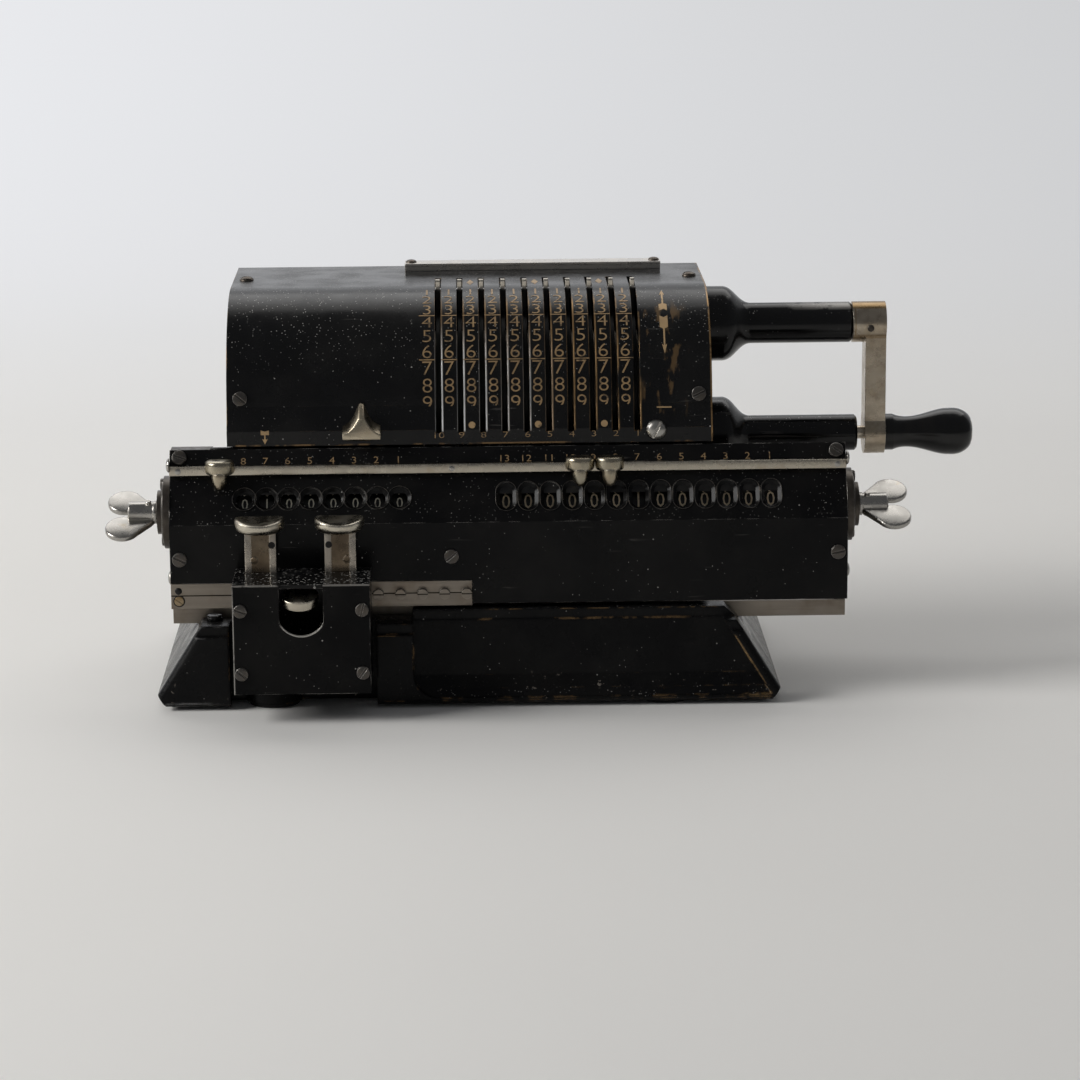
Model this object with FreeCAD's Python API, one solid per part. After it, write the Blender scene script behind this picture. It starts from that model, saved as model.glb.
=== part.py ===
"""Pinwheel calculator: a hand-cranked desk calculating machine.

Millimetres. X runs to the right along the machine, Y away from the operator, Z up.
The origin is the centre of the base's flat underside.
"""
import FreeCAD, Part
import math
import os

os.makedirs("parts", exist_ok=True)

V = FreeCAD.Vector

# Registers: one pitch is shared by the levers, the dials, the windows and the stop pins.
PITCH = 8.0
LEVER_COUNT = 10
RESULT_COUNT = 13
COUNTER_COUNT = 8
PIN_COUNT = 9
CARRIAGE_STEP_COUNT = 6

# Fits.
RUNNING = 0.05
SEATED = 0.03
PAINT_GAP = 0.15

# Rotor and setting levers.
ROTOR_Y = 8.0
ROTOR_Z = 102.8
FIRST_LEVER_X = 62.0
LEVER_TIP_RADIUS = 42.1
LEVER_THICKNESS = 1.6
LEVER_RING_RADIUS = 30.0
LEVER_RING_WIDTH = 8.0
LEVER_BLADE_WIDTH = 4.0
LEVER_TIP_WIDTH = 2.6
LEVER_ZERO_ANGLE = 87.0
LEVER_STEP = 9.0
DISC_RADIUS = 33.0
DISC_THICKNESS = 3.4
GEAR_PLANE_OFFSET = -3.95
PLATE_GAP = 0.25
DRIVE_PLATE_GAP = 4.45
ROTOR_SHAFT_RADIUS = 6.0
ROTOR_SLEEVE_RADIUS = 12.0
BUSH_RADIUS = 9.0
SETTING_PIN_WIDTH = 1.6
SETTING_PIN_LENGTH = 12.0
PIN_GROOVE_GAP = 0.1
PIN_FAN_MIDDLE = 200.0
PIN_STEP = 11.7
FINGER_HALF_WIDTH = 1.6

# Crank drive: two equal gears carry the crank's turn to the rotor.
DRIVE_TEETH = 24
DRIVE_MODULE = 1.2
DRIVE_LINE_ANGLE = 46.1
DRIVE_GEAR_GAP = 8.0
DRIVE_GEAR_WIDTH = 6.0
CRANK_SHAFT_RADIUS = 4.5
CRANK_RADIUS = 42.55

# Transfer gears between the pinwheels and the dials.
DIAL_TEETH = 20
DIAL_MODULE = 0.95
DIAL_GEAR_WIDTH = 2.4
DIAL_DRUM_RADIUS = 8.5
DIAL_DRUM_WIDTH = 5.2
DIAL_SHAFT_RADIUS = 3.0
TRANSFER_SHAFT_RADIUS = 2.5
TRANSFER_HUB_RADIUS = 3.4
TRANSFER_REACH = 46.0

# Top cover, a bent sheet over the side plates.
COVER_SHEET = 1.4
COVER_ARC_RADIUS = 40.3
COVER_ARC_DROP = 1.0
COVER_BACK = 61.0
COVER_BACK_HEIGHT = 9.0
COVER_BOTTOM = 90.8
SKIRT_FLARE = 3.2
SKIRT_HEIGHT = 5.4
SKIRT_TOP_ANGLE = 4.0
SLOT_WIDTH = 2.2
SLOT_BACK = 26.5
SLOT_BOTTOM = 95.0
SIDE_PLATE = 8.0
END_OVERHANG = 0.9
HOUSING_FRONT = -20.5
REAR_SHEET = 1.4
REAR_GAP = 0.4
APRON_TOP = 51.0
APRON_SHEET = 1.4

# Base casting.
BASE_HALF_DEPTH = 60.0
BASE_HALF_WIDTH = 112.7
BASE_TOE_HEIGHT = 4.2
BASE_TOE_INSET = 3.0
SHOULDER_HALF_WIDTH = 99.3
SHOULDER_HEIGHT = 25.7
LEDGE_HEIGHT = 29.5
LEDGE_SETBACK = 2.0
LEDGE_HALF_WIDTH = 96.6
LIP_HEIGHT = 33.2
LIP_RIGHT = 92.6
LIP_SETBACK = 8.0
DECK_HEIGHT = 26.0
CHANNEL_FLOOR = 24.0
CHANNEL_FRONT = -44.0
CHANNEL_BACK = -27.0
CORNER_RADIUS = 3.2
SCOOP_LEFT = -20.3
SCOOP_FILLET = 9.0
SCOOP_RIM = 4.6
SCOOP_BOTTOM = 2.2
KEY_BAY_LEFT = -86.4
KEY_BAY_RIGHT = -33.3
KEY_BAY_BACK = -50.0
CAVITY_HALF_WIDTH = 88.0
CAVITY_HALF_DEPTH = 24.0
CAVITY_HEIGHT = 20.0
BASE_PLATE_THICKNESS = 1.6
BASE_PLATE_MARGIN = 4.0
FOOT_X = 71.0
FOOT_Y = 48.0
FOOT_RADIUS = 9.0
FOOT_HEIGHT = 5.5
FOOT_STAND = 1.5
FOOT_LUG_HEIGHT = 8.0
FOOT_LUG_WALL = 1.4

# Carriage, drawn where it stands: six steps right of its home place.
CARRIAGE_LEFT = -107.5
CARRIAGE_RIGHT = 137.4
CARRIAGE_SHEET = 1.6
CARRIAGE_TOP_Y = -36.6
CARRIAGE_TOP_Z = 90.1
SHELF_DEPTH = 9.0
SHELF_THICKNESS = 1.4
SHELF_LENGTH = 15.0
STRIP_TOP_Z = 84.7
STRIP_BOTTOM_Z = 81.2
WINDOW_TOP_Y = -39.8
FRONT_Y = -49.7
FRONT_TOP_Z = 64.9
FRONT_BOTTOM_Z = 34.8
NOTCH_RIGHT = 1.5
NOTCH_TOP = 43.5
END_PLATE = 4.0
CENTRE_BEARING_X = -8.0
CARRIAGE_BACK_Y = -23.0
END_PLATE_SHOULDER_Z = 71.0
DIAL_Y = -34.0
DIAL_Z = 66.6
FIRST_COUNTER_X = -24.5
RAIL_BOTTOM = 26.8
RAIL_TOP = 32.6
RAIL_FRONT = -42.0
RAIL_BACK = -34.0
RAIL_GAP = 0.25
TONGUE_REACH = 2.0
TONGUE_THICKNESS = 1.6
GUIDE_THICKNESS = 4.5
GUIDE_TOP = 34.0
GUIDE_ROOM = 2.0
GUIDE_HALF_LENGTH = 92.0
RACK_THICKNESS = 1.5
RACK_BOTTOM = 34.0
RACK_SETBACK = 0.3
RACK_GAP = 0.2
FIRST_STOP_X = -0.6
STOP_COUNT = 9
STOP_RADIUS = 1.9
STOP_REACH = 2.2
STOP_Z = 38.8
PLATE_SCREW_Z = 52.4
PLATE_SCREW_INSET = 3.5
FLANGE_RADIUS = 13.25
FLANGE_THICKNESS = 2.5
BOSS_RADIUS = 8.0
BOSS_LENGTH = 2.5

# Windows.
RESULT_WINDOW_WIDTH = 4.6
RESULT_WINDOW_HEIGHT = 8.3
COUNTER_WINDOW_WIDTH = 5.8
WINDOW_BEVEL = 1.35
WINDOW_BEVEL_DEPTH = 1.0

# Marker strip and the three decimal markers on it.
STRIP_THICKNESS = 1.3
STRIP_MARGIN = 0.3
STRIP_SCREW_RADIUS = 1.5
STRIP_SCREW_INSET = 3.2
STRIP_SCREW_HEIGHT = 0.8
MARKER_X = (-89.2, 40.8, 51.6)
MARKER_WIDTH = 10.2
MARKER_CAP_TOP = 87.2
MARKER_CAP_BOTTOM = 82.0
MARKER_CAP_SETBACK = 0.9
MARKER_CORNER = 0.9
MARKER_TIP_RADIUS = 2.4
MARKER_TIP_END_RADIUS = 0.7
MARKER_TIP_BOTTOM = 76.6
MARKER_TIP_DEPTH = 3.9
MARKER_HOOK_INSET = 1.4
MARKER_GAP = 0.3

# Clearing wing nuts.
WING_HUB_RADIUS = 4.3
WING_HUB_LENGTH = 10.6
WING_GAP = 0.3
WING_TILT = 25.0
WING_BLADE_RADIUS = 6.4
WING_BLADE_REACH = 7.8
WING_BLADE_OUT = 12.2
WING_BLADE_THICKNESS = 2.0
WING_NECK_START = 2.6
WING_PIN_RADIUS = 1.0
WING_PIN_PLACE = 3.0
WING_PIN_LENGTH = 10.2

# Crank bearing, arm and grip.
BEARING_FLANGE_RADIUS = 14.1
BEARING_FLANGE_LENGTH = 8.6
BEARING_CONE_LENGTH = 10.6
BEARING_SHOULDER = 1.6
BEARING_CORNER = 0.8
SLEEVE_RADIUS = 7.65
SLEEVE_LENGTH = 57.55
CRANK_HUB_RADIUS = 7.7
CRANK_HUB_GAP = 0.2
ARM_OFFSET = 4.8
ARM_THICKNESS = 7.8
ARM_HALF_DEPTH = 6.0
ARM_EYE_RADIUS = 8.0
ARM_CAP = 2.0
POST_RADIUS = 6.85
POST_GAP = 2.7
LOCK_PIN_RADIUS = 2.5
LOCK_PIN_DEPTH = 4.2
POST_BORE_DEPTH = 8.0
SPINDLE_HEAD_RADIUS = 4.0
SPINDLE_HEAD_LENGTH = 1.6
GRIP_GAP = 0.3
GRIP_LENGTH = 31.5
GRIP_COLLAR_RADIUS = 6.9
GRIP_COLLAR_LENGTH = 3.0
GRIP_WAIST_RADIUS = 5.8
GRIP_WAIST_PLACE = 7.9
GRIP_BULB_RADIUS = 8.8
GRIP_BULB_PLACE = 24.9
GRIP_END_RADIUS = 4.6

# Key box with its keys.
KEYBOX_CENTRE = -59.3
KEYBOX_WIDTH = 48.7
KEYBOX_BOTTOM = 9.6
KEYBOX_TOP = 49.2
KEYBOX_FRONT = -79.0
KEYBOX_BACK = -51.6
KEYBOX_WALL = 1.5
PAD_WIDTH = 8.0
PAD_HEIGHT = 12.0
PAD_INSET = 8.0
POST_HALF = 2.6
PANEL_THICKNESS = 1.5
PANEL_NOTCH_WIDTH = 15.6
PANEL_NOTCH_STRAIGHT = 13.4
PANEL_NOTCH_RADIUS = 8.6
PANEL_SCREW_INSET = 2.8
PANEL_SCREW_TOP_DROP = 9.0
PANEL_SCREW_RISE = 7.6
KEYS_CENTRE = -60.1
SHIFT_KEY_SPREAD = 28.6
SHIFT_KEY_Y = -60.2
SHIFT_CAP_RADIUS = 9.0
SHIFT_CAP_TOP = 69.2
SHIFT_CAP_THICKNESS = 4.2
SHIFT_DISH_RADIUS = 22.0
SHIFT_DISH_DEPTH = 1.2
SHIFT_STEM_WIDTH = 11.2
SHIFT_STEM_THICKNESS = 2.0
SHIFT_STEM_Y = -57.0
SHIFT_STEM_BOTTOM = 20.0
KEY_SLOT_GAP = 0.3
RELEASE_CAP_RADIUS = 6.1
RELEASE_CAP_Y = -75.5
RELEASE_CAP_TOP = 45.0
RELEASE_CAP_TILT = 18.0
RELEASE_CAP_THICKNESS = 2.8
RELEASE_LEVER_WIDTH = 8.5
RELEASE_LEVER_BACK = -60.5

# Small things on the cover.
SETTING_RAIL_LEFT = -22.7
SETTING_RAIL_RIGHT = 74.6
SETTING_RAIL_FRONT = 43.0
SETTING_RAIL_DEPTH = 9.0
SETTING_RAIL_HEIGHT = 3.1
SETTING_RAIL_LIP = 2.4
SETTING_RAIL_SHEET = 1.0
ZERO_KNOB_X = -37.4
ZERO_KNOB_WIDTH = 14.0
ZERO_KNOB_BOTTOM = 92.3
ZERO_KNOB_TOP = 104.4
ZERO_KNOB_DEPTH = 5.6
ZERO_STEM_LENGTH = 4.0
ZERO_STEM_HEIGHT = 1.2
ZERO_STEM_RISE = 1.1
ZERO_SLOT_GAP = 0.2
ZERO_TRAVEL = 4.0
SCREW_RADIUS = 2.5
PANEL_SCREW_RADIUS = 2.3
SCREW_HEAD = 0.9
SCREW_SLOT_FLOOR = 0.2
SCREW_SLOT = 0.8
SHANK_RADIUS = 1.4
SHANK_LENGTH = 3.4
DOME_SCREW_RADIUS = 3.75
DOME_SCREW_HEIGHT = 2.2
RAIL_SCREW_RADIUS = 2.0
COVER_SCREW_INSET = 4.9
COVER_TOP_SCREW_Y = 27.0
COVER_FRONT_SCREW_ANGLE = 8.5
REAR_SCREW_INSET = 10.0

# Places worked out from the sizes above.
LEVER_XS = [FIRST_LEVER_X - PITCH * i for i in range(LEVER_COUNT)]
DRIVE_GEAR_X = FIRST_LEVER_X + DRIVE_GEAR_GAP
RESULT_XS = [FIRST_LEVER_X + PITCH * (CARRIAGE_STEP_COUNT - i) for i in range(RESULT_COUNT)]
COUNTER_XS = [FIRST_COUNTER_X - PITCH * i for i in range(COUNTER_COUNT)]
COUNTER_DRIVE_X = COUNTER_XS[CARRIAGE_STEP_COUNT]
ARC_Z = ROTOR_Z - COVER_ARC_DROP
COVER_TOP = ARC_Z + COVER_ARC_RADIUS
SKIRT_Y = ROTOR_Y - COVER_ARC_RADIUS - SKIRT_FLARE
LEFT_PLATE_INSIDE = COUNTER_DRIVE_X + GEAR_PLANE_OFFSET - DIAL_GEAR_WIDTH / 2 - PLATE_GAP
RIGHT_PLATE_INSIDE = DRIVE_GEAR_X + DRIVE_GEAR_WIDTH + DRIVE_PLATE_GAP
LEFT_PLATE_X = (LEFT_PLATE_INSIDE - SIDE_PLATE, LEFT_PLATE_INSIDE)
RIGHT_PLATE_X = (RIGHT_PLATE_INSIDE, RIGHT_PLATE_INSIDE + SIDE_PLATE)
COVER_LEFT = LEFT_PLATE_X[0] - END_OVERHANG
COVER_RIGHT = RIGHT_PLATE_X[1] + END_OVERHANG
DRIVE_PITCH_RADIUS = DRIVE_MODULE * DRIVE_TEETH / 2
CRANK_Y = ROTOR_Y + 2 * DRIVE_PITCH_RADIUS * math.cos(math.radians(DRIVE_LINE_ANGLE))
CRANK_Z = ROTOR_Z + 2 * DRIVE_PITCH_RADIUS * math.sin(math.radians(DRIVE_LINE_ANGLE))
GRIP_Z = CRANK_Z - CRANK_RADIUS
BEARING_FLANGE_END = RIGHT_PLATE_X[1] + BEARING_FLANGE_LENGTH
BEARING_CONE_END = BEARING_FLANGE_END + BEARING_CONE_LENGTH
SLEEVE_END = RIGHT_PLATE_X[1] + SLEEVE_LENGTH
CRANK_HUB_START = SLEEVE_END + CRANK_HUB_GAP
ARM_LEFT = CRANK_HUB_START + ARM_OFFSET
ARM_RIGHT = ARM_LEFT + ARM_THICKNESS
POST_END = ARM_LEFT - POST_GAP
GRIP_START = ARM_RIGHT + GRIP_GAP
GRIP_END = GRIP_START + GRIP_LENGTH
DIAL_PITCH_RADIUS = DIAL_MODULE * DIAL_TEETH / 2
DIAL_TIP_RADIUS = DIAL_PITCH_RADIUS + 0.9 * DIAL_MODULE


def transfer_axis():
    """The point at the transfer reach from the rotor and in mesh with the dials, on the lower side."""
    dy = DIAL_Y - ROTOR_Y
    dz = DIAL_Z - ROTOR_Z
    span = math.hypot(dy, dz)
    mesh = 2 * DIAL_PITCH_RADIUS
    along_line = (TRANSFER_REACH ** 2 - mesh ** 2 + span ** 2) / (2 * span)
    off_line = math.sqrt(TRANSFER_REACH ** 2 - along_line ** 2)
    uy, uz = dy / span, dz / span
    return ROTOR_Y + along_line * uy - off_line * uz, ROTOR_Z + along_line * uz + off_line * uy


TRANSFER_Y, TRANSFER_Z = transfer_axis()
TRANSFER_LINE_ANGLE = math.degrees(math.atan2(TRANSFER_Z - DIAL_Z, TRANSFER_Y - DIAL_Y))


def box(x, y, z):
    return Part.makeBox(x[1] - x[0], y[1] - y[0], z[1] - z[0], V(x[0], y[0], z[0]))


def rod(x0, x1, y, z, radius):
    """A round bar along X."""
    return Part.makeCylinder(radius, x1 - x0, V(x0, y, z), V(1, 0, 0))


def upright(x, y, z0, z1, radius):
    return Part.makeCylinder(radius, z1 - z0, V(x, y, z0), V(0, 0, 1))


def taper(x0, x1, y, z, radius0, radius1):
    return Part.makeCone(radius0, radius1, x1 - x0, V(x0, y, z), V(1, 0, 0))


def across(points, x0, x1):
    """A prism along X from (y, z) points."""
    wire = Part.makePolygon([V(x0, y, z) for y, z in points] + [V(x0, *points[0])])
    return Part.Face(wire).extrude(V(x1 - x0, 0, 0))


def along(points, y0, y1):
    """A prism along Y from (x, z) points."""
    wire = Part.makePolygon([V(x, y0, z) for x, z in points] + [V(points[0][0], y0, points[0][1])])
    return Part.Face(wire).extrude(V(0, y1 - y0, 0))


def fuse(shapes):
    result = shapes[0].fuse(shapes[1:]) if len(shapes) > 1 else shapes[0]
    return result.removeSplitter()


def turn_x(shape, angle, y, z):
    copy = shape.copy()
    copy.rotate(V(0, y, z), V(1, 0, 0), angle)
    return copy


def moved(shape, x=0.0, y=0.0, z=0.0):
    copy = shape.copy()
    copy.translate(V(x, y, z))
    return copy


def save(node, shapes):
    shape = shapes if isinstance(shapes, Part.Shape) else Part.makeCompound(shapes)
    shape.exportStep(f"parts/{node}.step")


def inset(points, distance):
    """An open line of (y, z) points moved to its left by a distance, mitred at its corners."""
    normals = []
    for (y0, z0), (y1, z1) in zip(points, points[1:]):
        length = math.hypot(y1 - y0, z1 - z0)
        normals.append((-(z1 - z0) / length, (y1 - y0) / length))
    result = []
    for i, (y, z) in enumerate(points):
        before = normals[max(i - 1, 0)]
        after = normals[min(i, len(normals) - 1)]
        scale = distance / (1 + before[0] * after[0] + before[1] * after[1])
        result.append((y + (before[0] + after[0]) * scale, z + (before[1] + after[1]) * scale))
    return result


def sheet(points, thickness, x0, x1):
    return across(points + inset(points, thickness)[::-1], x0, x1)


def involute(angle):
    return math.tan(angle) - angle


def gear(teeth, module, x0, x1, y, z, first_tooth, bore, backlash=0.22):
    """A spur gear along X whose first tooth points at an angle from +Y towards +Z."""
    pressure = math.radians(20)
    pitch_radius = module * teeth / 2
    base_radius = pitch_radius * math.cos(pressure)
    half_tooth = (math.pi * module / 2 - backlash) / (2 * pitch_radius)

    def half_angle(radius):
        if radius <= base_radius:
            return half_tooth + involute(pressure)
        return half_tooth + involute(pressure) - involute(math.acos(base_radius / radius))

    radii = (pitch_radius - 1.15 * module, pitch_radius, pitch_radius + 0.9 * module)
    points = []
    for i in range(teeth):
        middle = math.radians(first_tooth) + 2 * math.pi * i / teeth
        flank = [(radius, half_angle(radius)) for radius in radii]
        outline = [(r, middle - a) for r, a in flank] + [(r, middle + a) for r, a in flank[::-1]]
        points += [(y + r * math.cos(a), z + r * math.sin(a)) for r, a in outline]
    return across(points, x0, x1).cut(rod(x0 - 1, x1 + 1, y, z, bore))


def screw(place, out, head_radius=SCREW_RADIUS, slot_turn=20.0):
    """A slotted screw whose head stands on a surface at a place and points out."""
    head = Part.makeCylinder(head_radius, SCREW_HEAD, V(0, 0, 0), V(0, 0, 1))
    slot_corner = V(-2 * head_radius, -SCREW_SLOT / 2, SCREW_SLOT_FLOOR)
    slot = Part.makeBox(4 * head_radius, SCREW_SLOT, SCREW_HEAD, slot_corner)
    slot.rotate(V(0, 0, 0), V(0, 0, 1), slot_turn)
    shank = Part.makeCylinder(SHANK_RADIUS, SHANK_LENGTH, V(0, 0, -SHANK_LENGTH), V(0, 0, 1))
    return placed(head.cut(slot).fuse(shank).removeSplitter(), place, out)


def dome_screw(place, out, radius, height):
    """A screw with a rounded head, slotted across."""
    ball = (radius ** 2 + height ** 2) / (2 * height)
    head = Part.makeSphere(ball, V(0, 0, height - ball)).common(
        Part.makeCylinder(radius, height + 1, V(0, 0, 0), V(0, 0, 1)))
    slot = Part.makeBox(4 * radius, SCREW_SLOT, height, V(-2 * radius, -SCREW_SLOT / 2, height * 0.6))
    shank = Part.makeCylinder(SHANK_RADIUS, SHANK_LENGTH, V(0, 0, -SHANK_LENGTH), V(0, 0, 1))
    return placed(head.cut(slot).fuse(shank).removeSplitter(), place, out)


def shank_hole(place, out):
    foot = V(0, 0, -SHANK_LENGTH - 0.2)
    hole = Part.makeCylinder(SHANK_RADIUS + SEATED, 2 * SHANK_LENGTH, foot, V(0, 0, 1))
    return placed(hole, place, out)


def placed(shape, place, out):
    """Turn a shape drawn along +Z to point along out, and carry it to its place."""
    shape.Placement = FreeCAD.Placement(V(*place), FreeCAD.Rotation(V(0, 0, 1), V(*out)))
    return shape


# The cover's outline, at a depth below its outer surface.
def cover_outline(depth, bottom, back, back_bottom):
    radius = COVER_ARC_RADIUS - depth
    top = ARC_Z + radius
    start = math.radians(SKIRT_TOP_ANGLE)

    def on_arc(angle):
        return V(0, ROTOR_Y - radius * math.cos(angle), ARC_Z + radius * math.sin(angle))

    skirt = SKIRT_Y + depth
    corner = 2.0
    back_y = back - depth
    edges = [
        Part.LineSegment(V(0, skirt, bottom), V(0, skirt, COVER_BOTTOM + SKIRT_HEIGHT)),
        Part.LineSegment(V(0, skirt, COVER_BOTTOM + SKIRT_HEIGHT), on_arc(start)),
        Part.Arc(on_arc(start), on_arc(math.pi / 4), on_arc(math.pi / 2)),
        Part.LineSegment(on_arc(math.pi / 2), V(0, back_y - corner, top)),
        Part.LineSegment(V(0, back_y - corner, top), V(0, back_y, top - corner)),
        Part.LineSegment(V(0, back_y, top - corner), V(0, back_y, back_bottom)),
    ]
    return [edge.toShape() for edge in edges]


def top_cover_screw_places():
    left = COVER_LEFT + COVER_SCREW_INSET
    right = COVER_RIGHT - COVER_SCREW_INSET
    angle = math.radians(COVER_FRONT_SCREW_ANGLE)
    front_y = ROTOR_Y - COVER_ARC_RADIUS * math.cos(angle)
    front_z = ARC_Z + COVER_ARC_RADIUS * math.sin(angle)
    out = (0, -math.cos(angle), math.sin(angle))
    places = [((x, COVER_TOP_SCREW_Y, COVER_TOP), (0, 0, 1)) for x in (left, right)]
    return places + [((x, front_y, front_z), out) for x in (left, right)]


def top_cover():
    bottom_back = COVER_TOP - COVER_BACK_HEIGHT
    outer = cover_outline(0, COVER_BOTTOM, COVER_BACK, bottom_back)
    inner = cover_outline(COVER_SHEET, COVER_BOTTOM, COVER_BACK, bottom_back)
    ends = [
        Part.makeLine(outer[0].Vertexes[0].Point, inner[0].Vertexes[0].Point),
        Part.makeLine(outer[-1].Vertexes[-1].Point, inner[-1].Vertexes[-1].Point),
    ]
    wire = Part.Wire(Part.__sortEdges__(outer + inner + ends))
    shell = Part.Face(wire).extrude(V(COVER_RIGHT - COVER_LEFT, 0, 0))
    shell.translate(V(COVER_LEFT, 0, 0))
    half = SLOT_WIDTH / 2
    slots = [box((x - half, x + half), (SKIRT_Y - 1, SLOT_BACK), (SLOT_BOTTOM, COVER_TOP + 1))
             for x in LEVER_XS]
    knob_slot = box((ZERO_KNOB_X - ZERO_STEM_LENGTH / 2 - ZERO_TRAVEL - ZERO_SLOT_GAP,
                     ZERO_KNOB_X + ZERO_STEM_LENGTH / 2 + ZERO_SLOT_GAP),
                    (SKIRT_Y - 1, SKIRT_Y + COVER_SHEET + 1), zero_stem_z(ZERO_SLOT_GAP))
    screws = top_cover_screw_places() + [dome_screw_place()] + rail_screw_places()
    holes = [shank_hole(*place) for place in screws]
    save("top_cover", shell.cut(slots + [knob_slot] + holes))


def dome_screw_place():
    return (68.8, SKIRT_Y, COVER_BOTTOM + 4.5), (0, -1, 0)


def rail_screw_places():
    y = SETTING_RAIL_FRONT + SETTING_RAIL_DEPTH / 2
    z = COVER_TOP + SETTING_RAIL_HEIGHT
    return [((x, y, z), (0, 0, 1)) for x in (SETTING_RAIL_LEFT + 2.4, SETTING_RAIL_RIGHT - 2.4)]


def setting_rail():
    x = (SETTING_RAIL_LEFT, SETTING_RAIL_RIGHT)
    back = SETTING_RAIL_FRONT + SETTING_RAIL_DEPTH
    top = COVER_TOP + SETTING_RAIL_HEIGHT
    foot = box(x, (SETTING_RAIL_FRONT + SETTING_RAIL_LIP, back), (COVER_TOP, top))
    lip = box(x, (SETTING_RAIL_FRONT, back), (top - SETTING_RAIL_SHEET, top))
    save("setting_rail", fuse([foot, lip]).cut([shank_hole(*place) for place in rail_screw_places()]))


def side_plate(node, x):
    """A side plate under the cover, standing on the deck, with its bearing holes."""
    depth = COVER_SHEET + PAINT_GAP
    edges = cover_outline(depth, COVER_BOTTOM + 2 * PAINT_GAP, COVER_BACK, DECK_HEIGHT)
    front = edges[0].Vertexes[0].Point
    back = edges[-1].Vertexes[-1].Point
    corners = [back, V(0, HOUSING_FRONT, DECK_HEIGHT), V(0, HOUSING_FRONT, front.z), front]
    wire = Part.Wire(Part.__sortEdges__(edges + [Part.makeLine(a, b) for a, b in zip(corners, corners[1:])]))
    plate = Part.Face(wire).extrude(V(x[1] - x[0], 0, 0))
    plate.translate(V(x[0], 0, 0))
    cuts = [rod(x[0] - 1, x[1] + 1, ROTOR_Y, ROTOR_Z, BUSH_RADIUS + SEATED),
            rod(x[0] - 1, x[1] + 1, TRANSFER_Y, TRANSFER_Z, TRANSFER_SHAFT_RADIUS + SEATED)]
    if x == RIGHT_PLATE_X:
        cuts.append(rod(x[0] - 1, x[1] + 1, CRANK_Y, CRANK_Z, CRANK_SHAFT_RADIUS + 1.5))
    cuts += [shank_hole(*place) for place in top_cover_screw_places() + rear_screw_places()]
    save(node, plate.cut(cuts))


def rotor_bushes():
    bushes = []
    for x0, x1 in (LEFT_PLATE_X, RIGHT_PLATE_X):
        bushes.append(rod(x0, x1, ROTOR_Y, ROTOR_Z, BUSH_RADIUS).cut(
            rod(x0 - 1, x1 + 1, ROTOR_Y, ROTOR_Z, ROTOR_SHAFT_RADIUS + RUNNING)))
    save("rotor_bushes", bushes)


def rear_screw_places():
    y = COVER_BACK - PAINT_GAP
    xs = (LEFT_PLATE_X[0] + SIDE_PLATE / 2, RIGHT_PLATE_X[0] + SIDE_PLATE / 2)
    zs = (DECK_HEIGHT + REAR_SCREW_INSET, COVER_TOP - COVER_BACK_HEIGHT - REAR_SCREW_INSET)
    return [((x, y, z), (0, 1, 0)) for x in xs for z in zs]


def rear_cover():
    y1 = COVER_BACK - PAINT_GAP
    y0 = y1 - REAR_SHEET
    top = COVER_TOP - COVER_BACK_HEIGHT - REAR_GAP
    plate = box((COVER_LEFT + REAR_GAP, COVER_RIGHT - REAR_GAP), (y0, y1), (DECK_HEIGHT, top))
    save("rear_cover", plate.cut([shank_hole(*place) for place in rear_screw_places()]))


def front_apron():
    save("front_apron", box((LEFT_PLATE_X[1], RIGHT_PLATE_X[0]), (HOUSING_FRONT, HOUSING_FRONT + APRON_SHEET),
                            (DECK_HEIGHT, APRON_TOP)))


def zero_stem_z(gap=0.0):
    middle = ZERO_KNOB_BOTTOM + ZERO_STEM_RISE
    return middle - ZERO_STEM_HEIGHT / 2 - gap, middle + ZERO_STEM_HEIGHT / 2 + gap


def zero_slide_knob():
    """A waisted knob with a rising fin, its stem through the skirt and the slider behind it."""
    half = ZERO_KNOB_WIDTH / 2
    back = SKIRT_Y - PAINT_GAP
    low = ZERO_KNOB_BOTTOM
    foot = [(-half, low), (half, low), (half, low + 1.8), (half * 0.55, low + 3.0), (half * 0.25, low + 5.2),
            (half * 0.14, low + 7.6), (-half * 0.14, low + 7.6), (-half * 0.25, low + 5.2),
            (-half * 0.55, low + 3.0), (-half, low + 1.8)]
    body = along([(ZERO_KNOB_X + x, z) for x, z in foot], back - ZERO_KNOB_DEPTH, back)
    side = [(back, low + 6.0), (back - 3.4, low + 7.0), (back - 1.2, ZERO_KNOB_TOP), (back, ZERO_KNOB_TOP)]
    fin = across(side, ZERO_KNOB_X - 1.3, ZERO_KNOB_X + 1.3)
    z0, z1 = zero_stem_z()
    stem_x = (ZERO_KNOB_X - ZERO_STEM_LENGTH / 2, ZERO_KNOB_X + ZERO_STEM_LENGTH / 2)
    inner = SKIRT_Y + COVER_SHEET + PAINT_GAP
    stem = box(stem_x, (back - 1, inner + 0.5), (z0, z1))
    slider = box((stem_x[0] - 4, stem_x[1] + 4), (inner, inner + 1.4), (z0 - 1.4, z1 + 1.4))
    save("zero_slide_knob", fuse([body, fin, stem, slider]))


def frame_screws():
    screws = []
    for i, (place, out) in enumerate(top_cover_screw_places() + rear_screw_places()):
        screws.append(screw(place, out, slot_turn=25.0 + 47 * i))
    for i, (place, out) in enumerate(panel_screw_places()):
        screws.append(screw(place, out, PANEL_SCREW_RADIUS, slot_turn=10.0 + 38 * i))
    screws.append(dome_screw(*dome_screw_place(), DOME_SCREW_RADIUS, DOME_SCREW_HEIGHT))
    screws += [dome_screw(*place, RAIL_SCREW_RADIUS, 1.1) for place in rail_screw_places()]
    save("frame_screws", screws)


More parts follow.
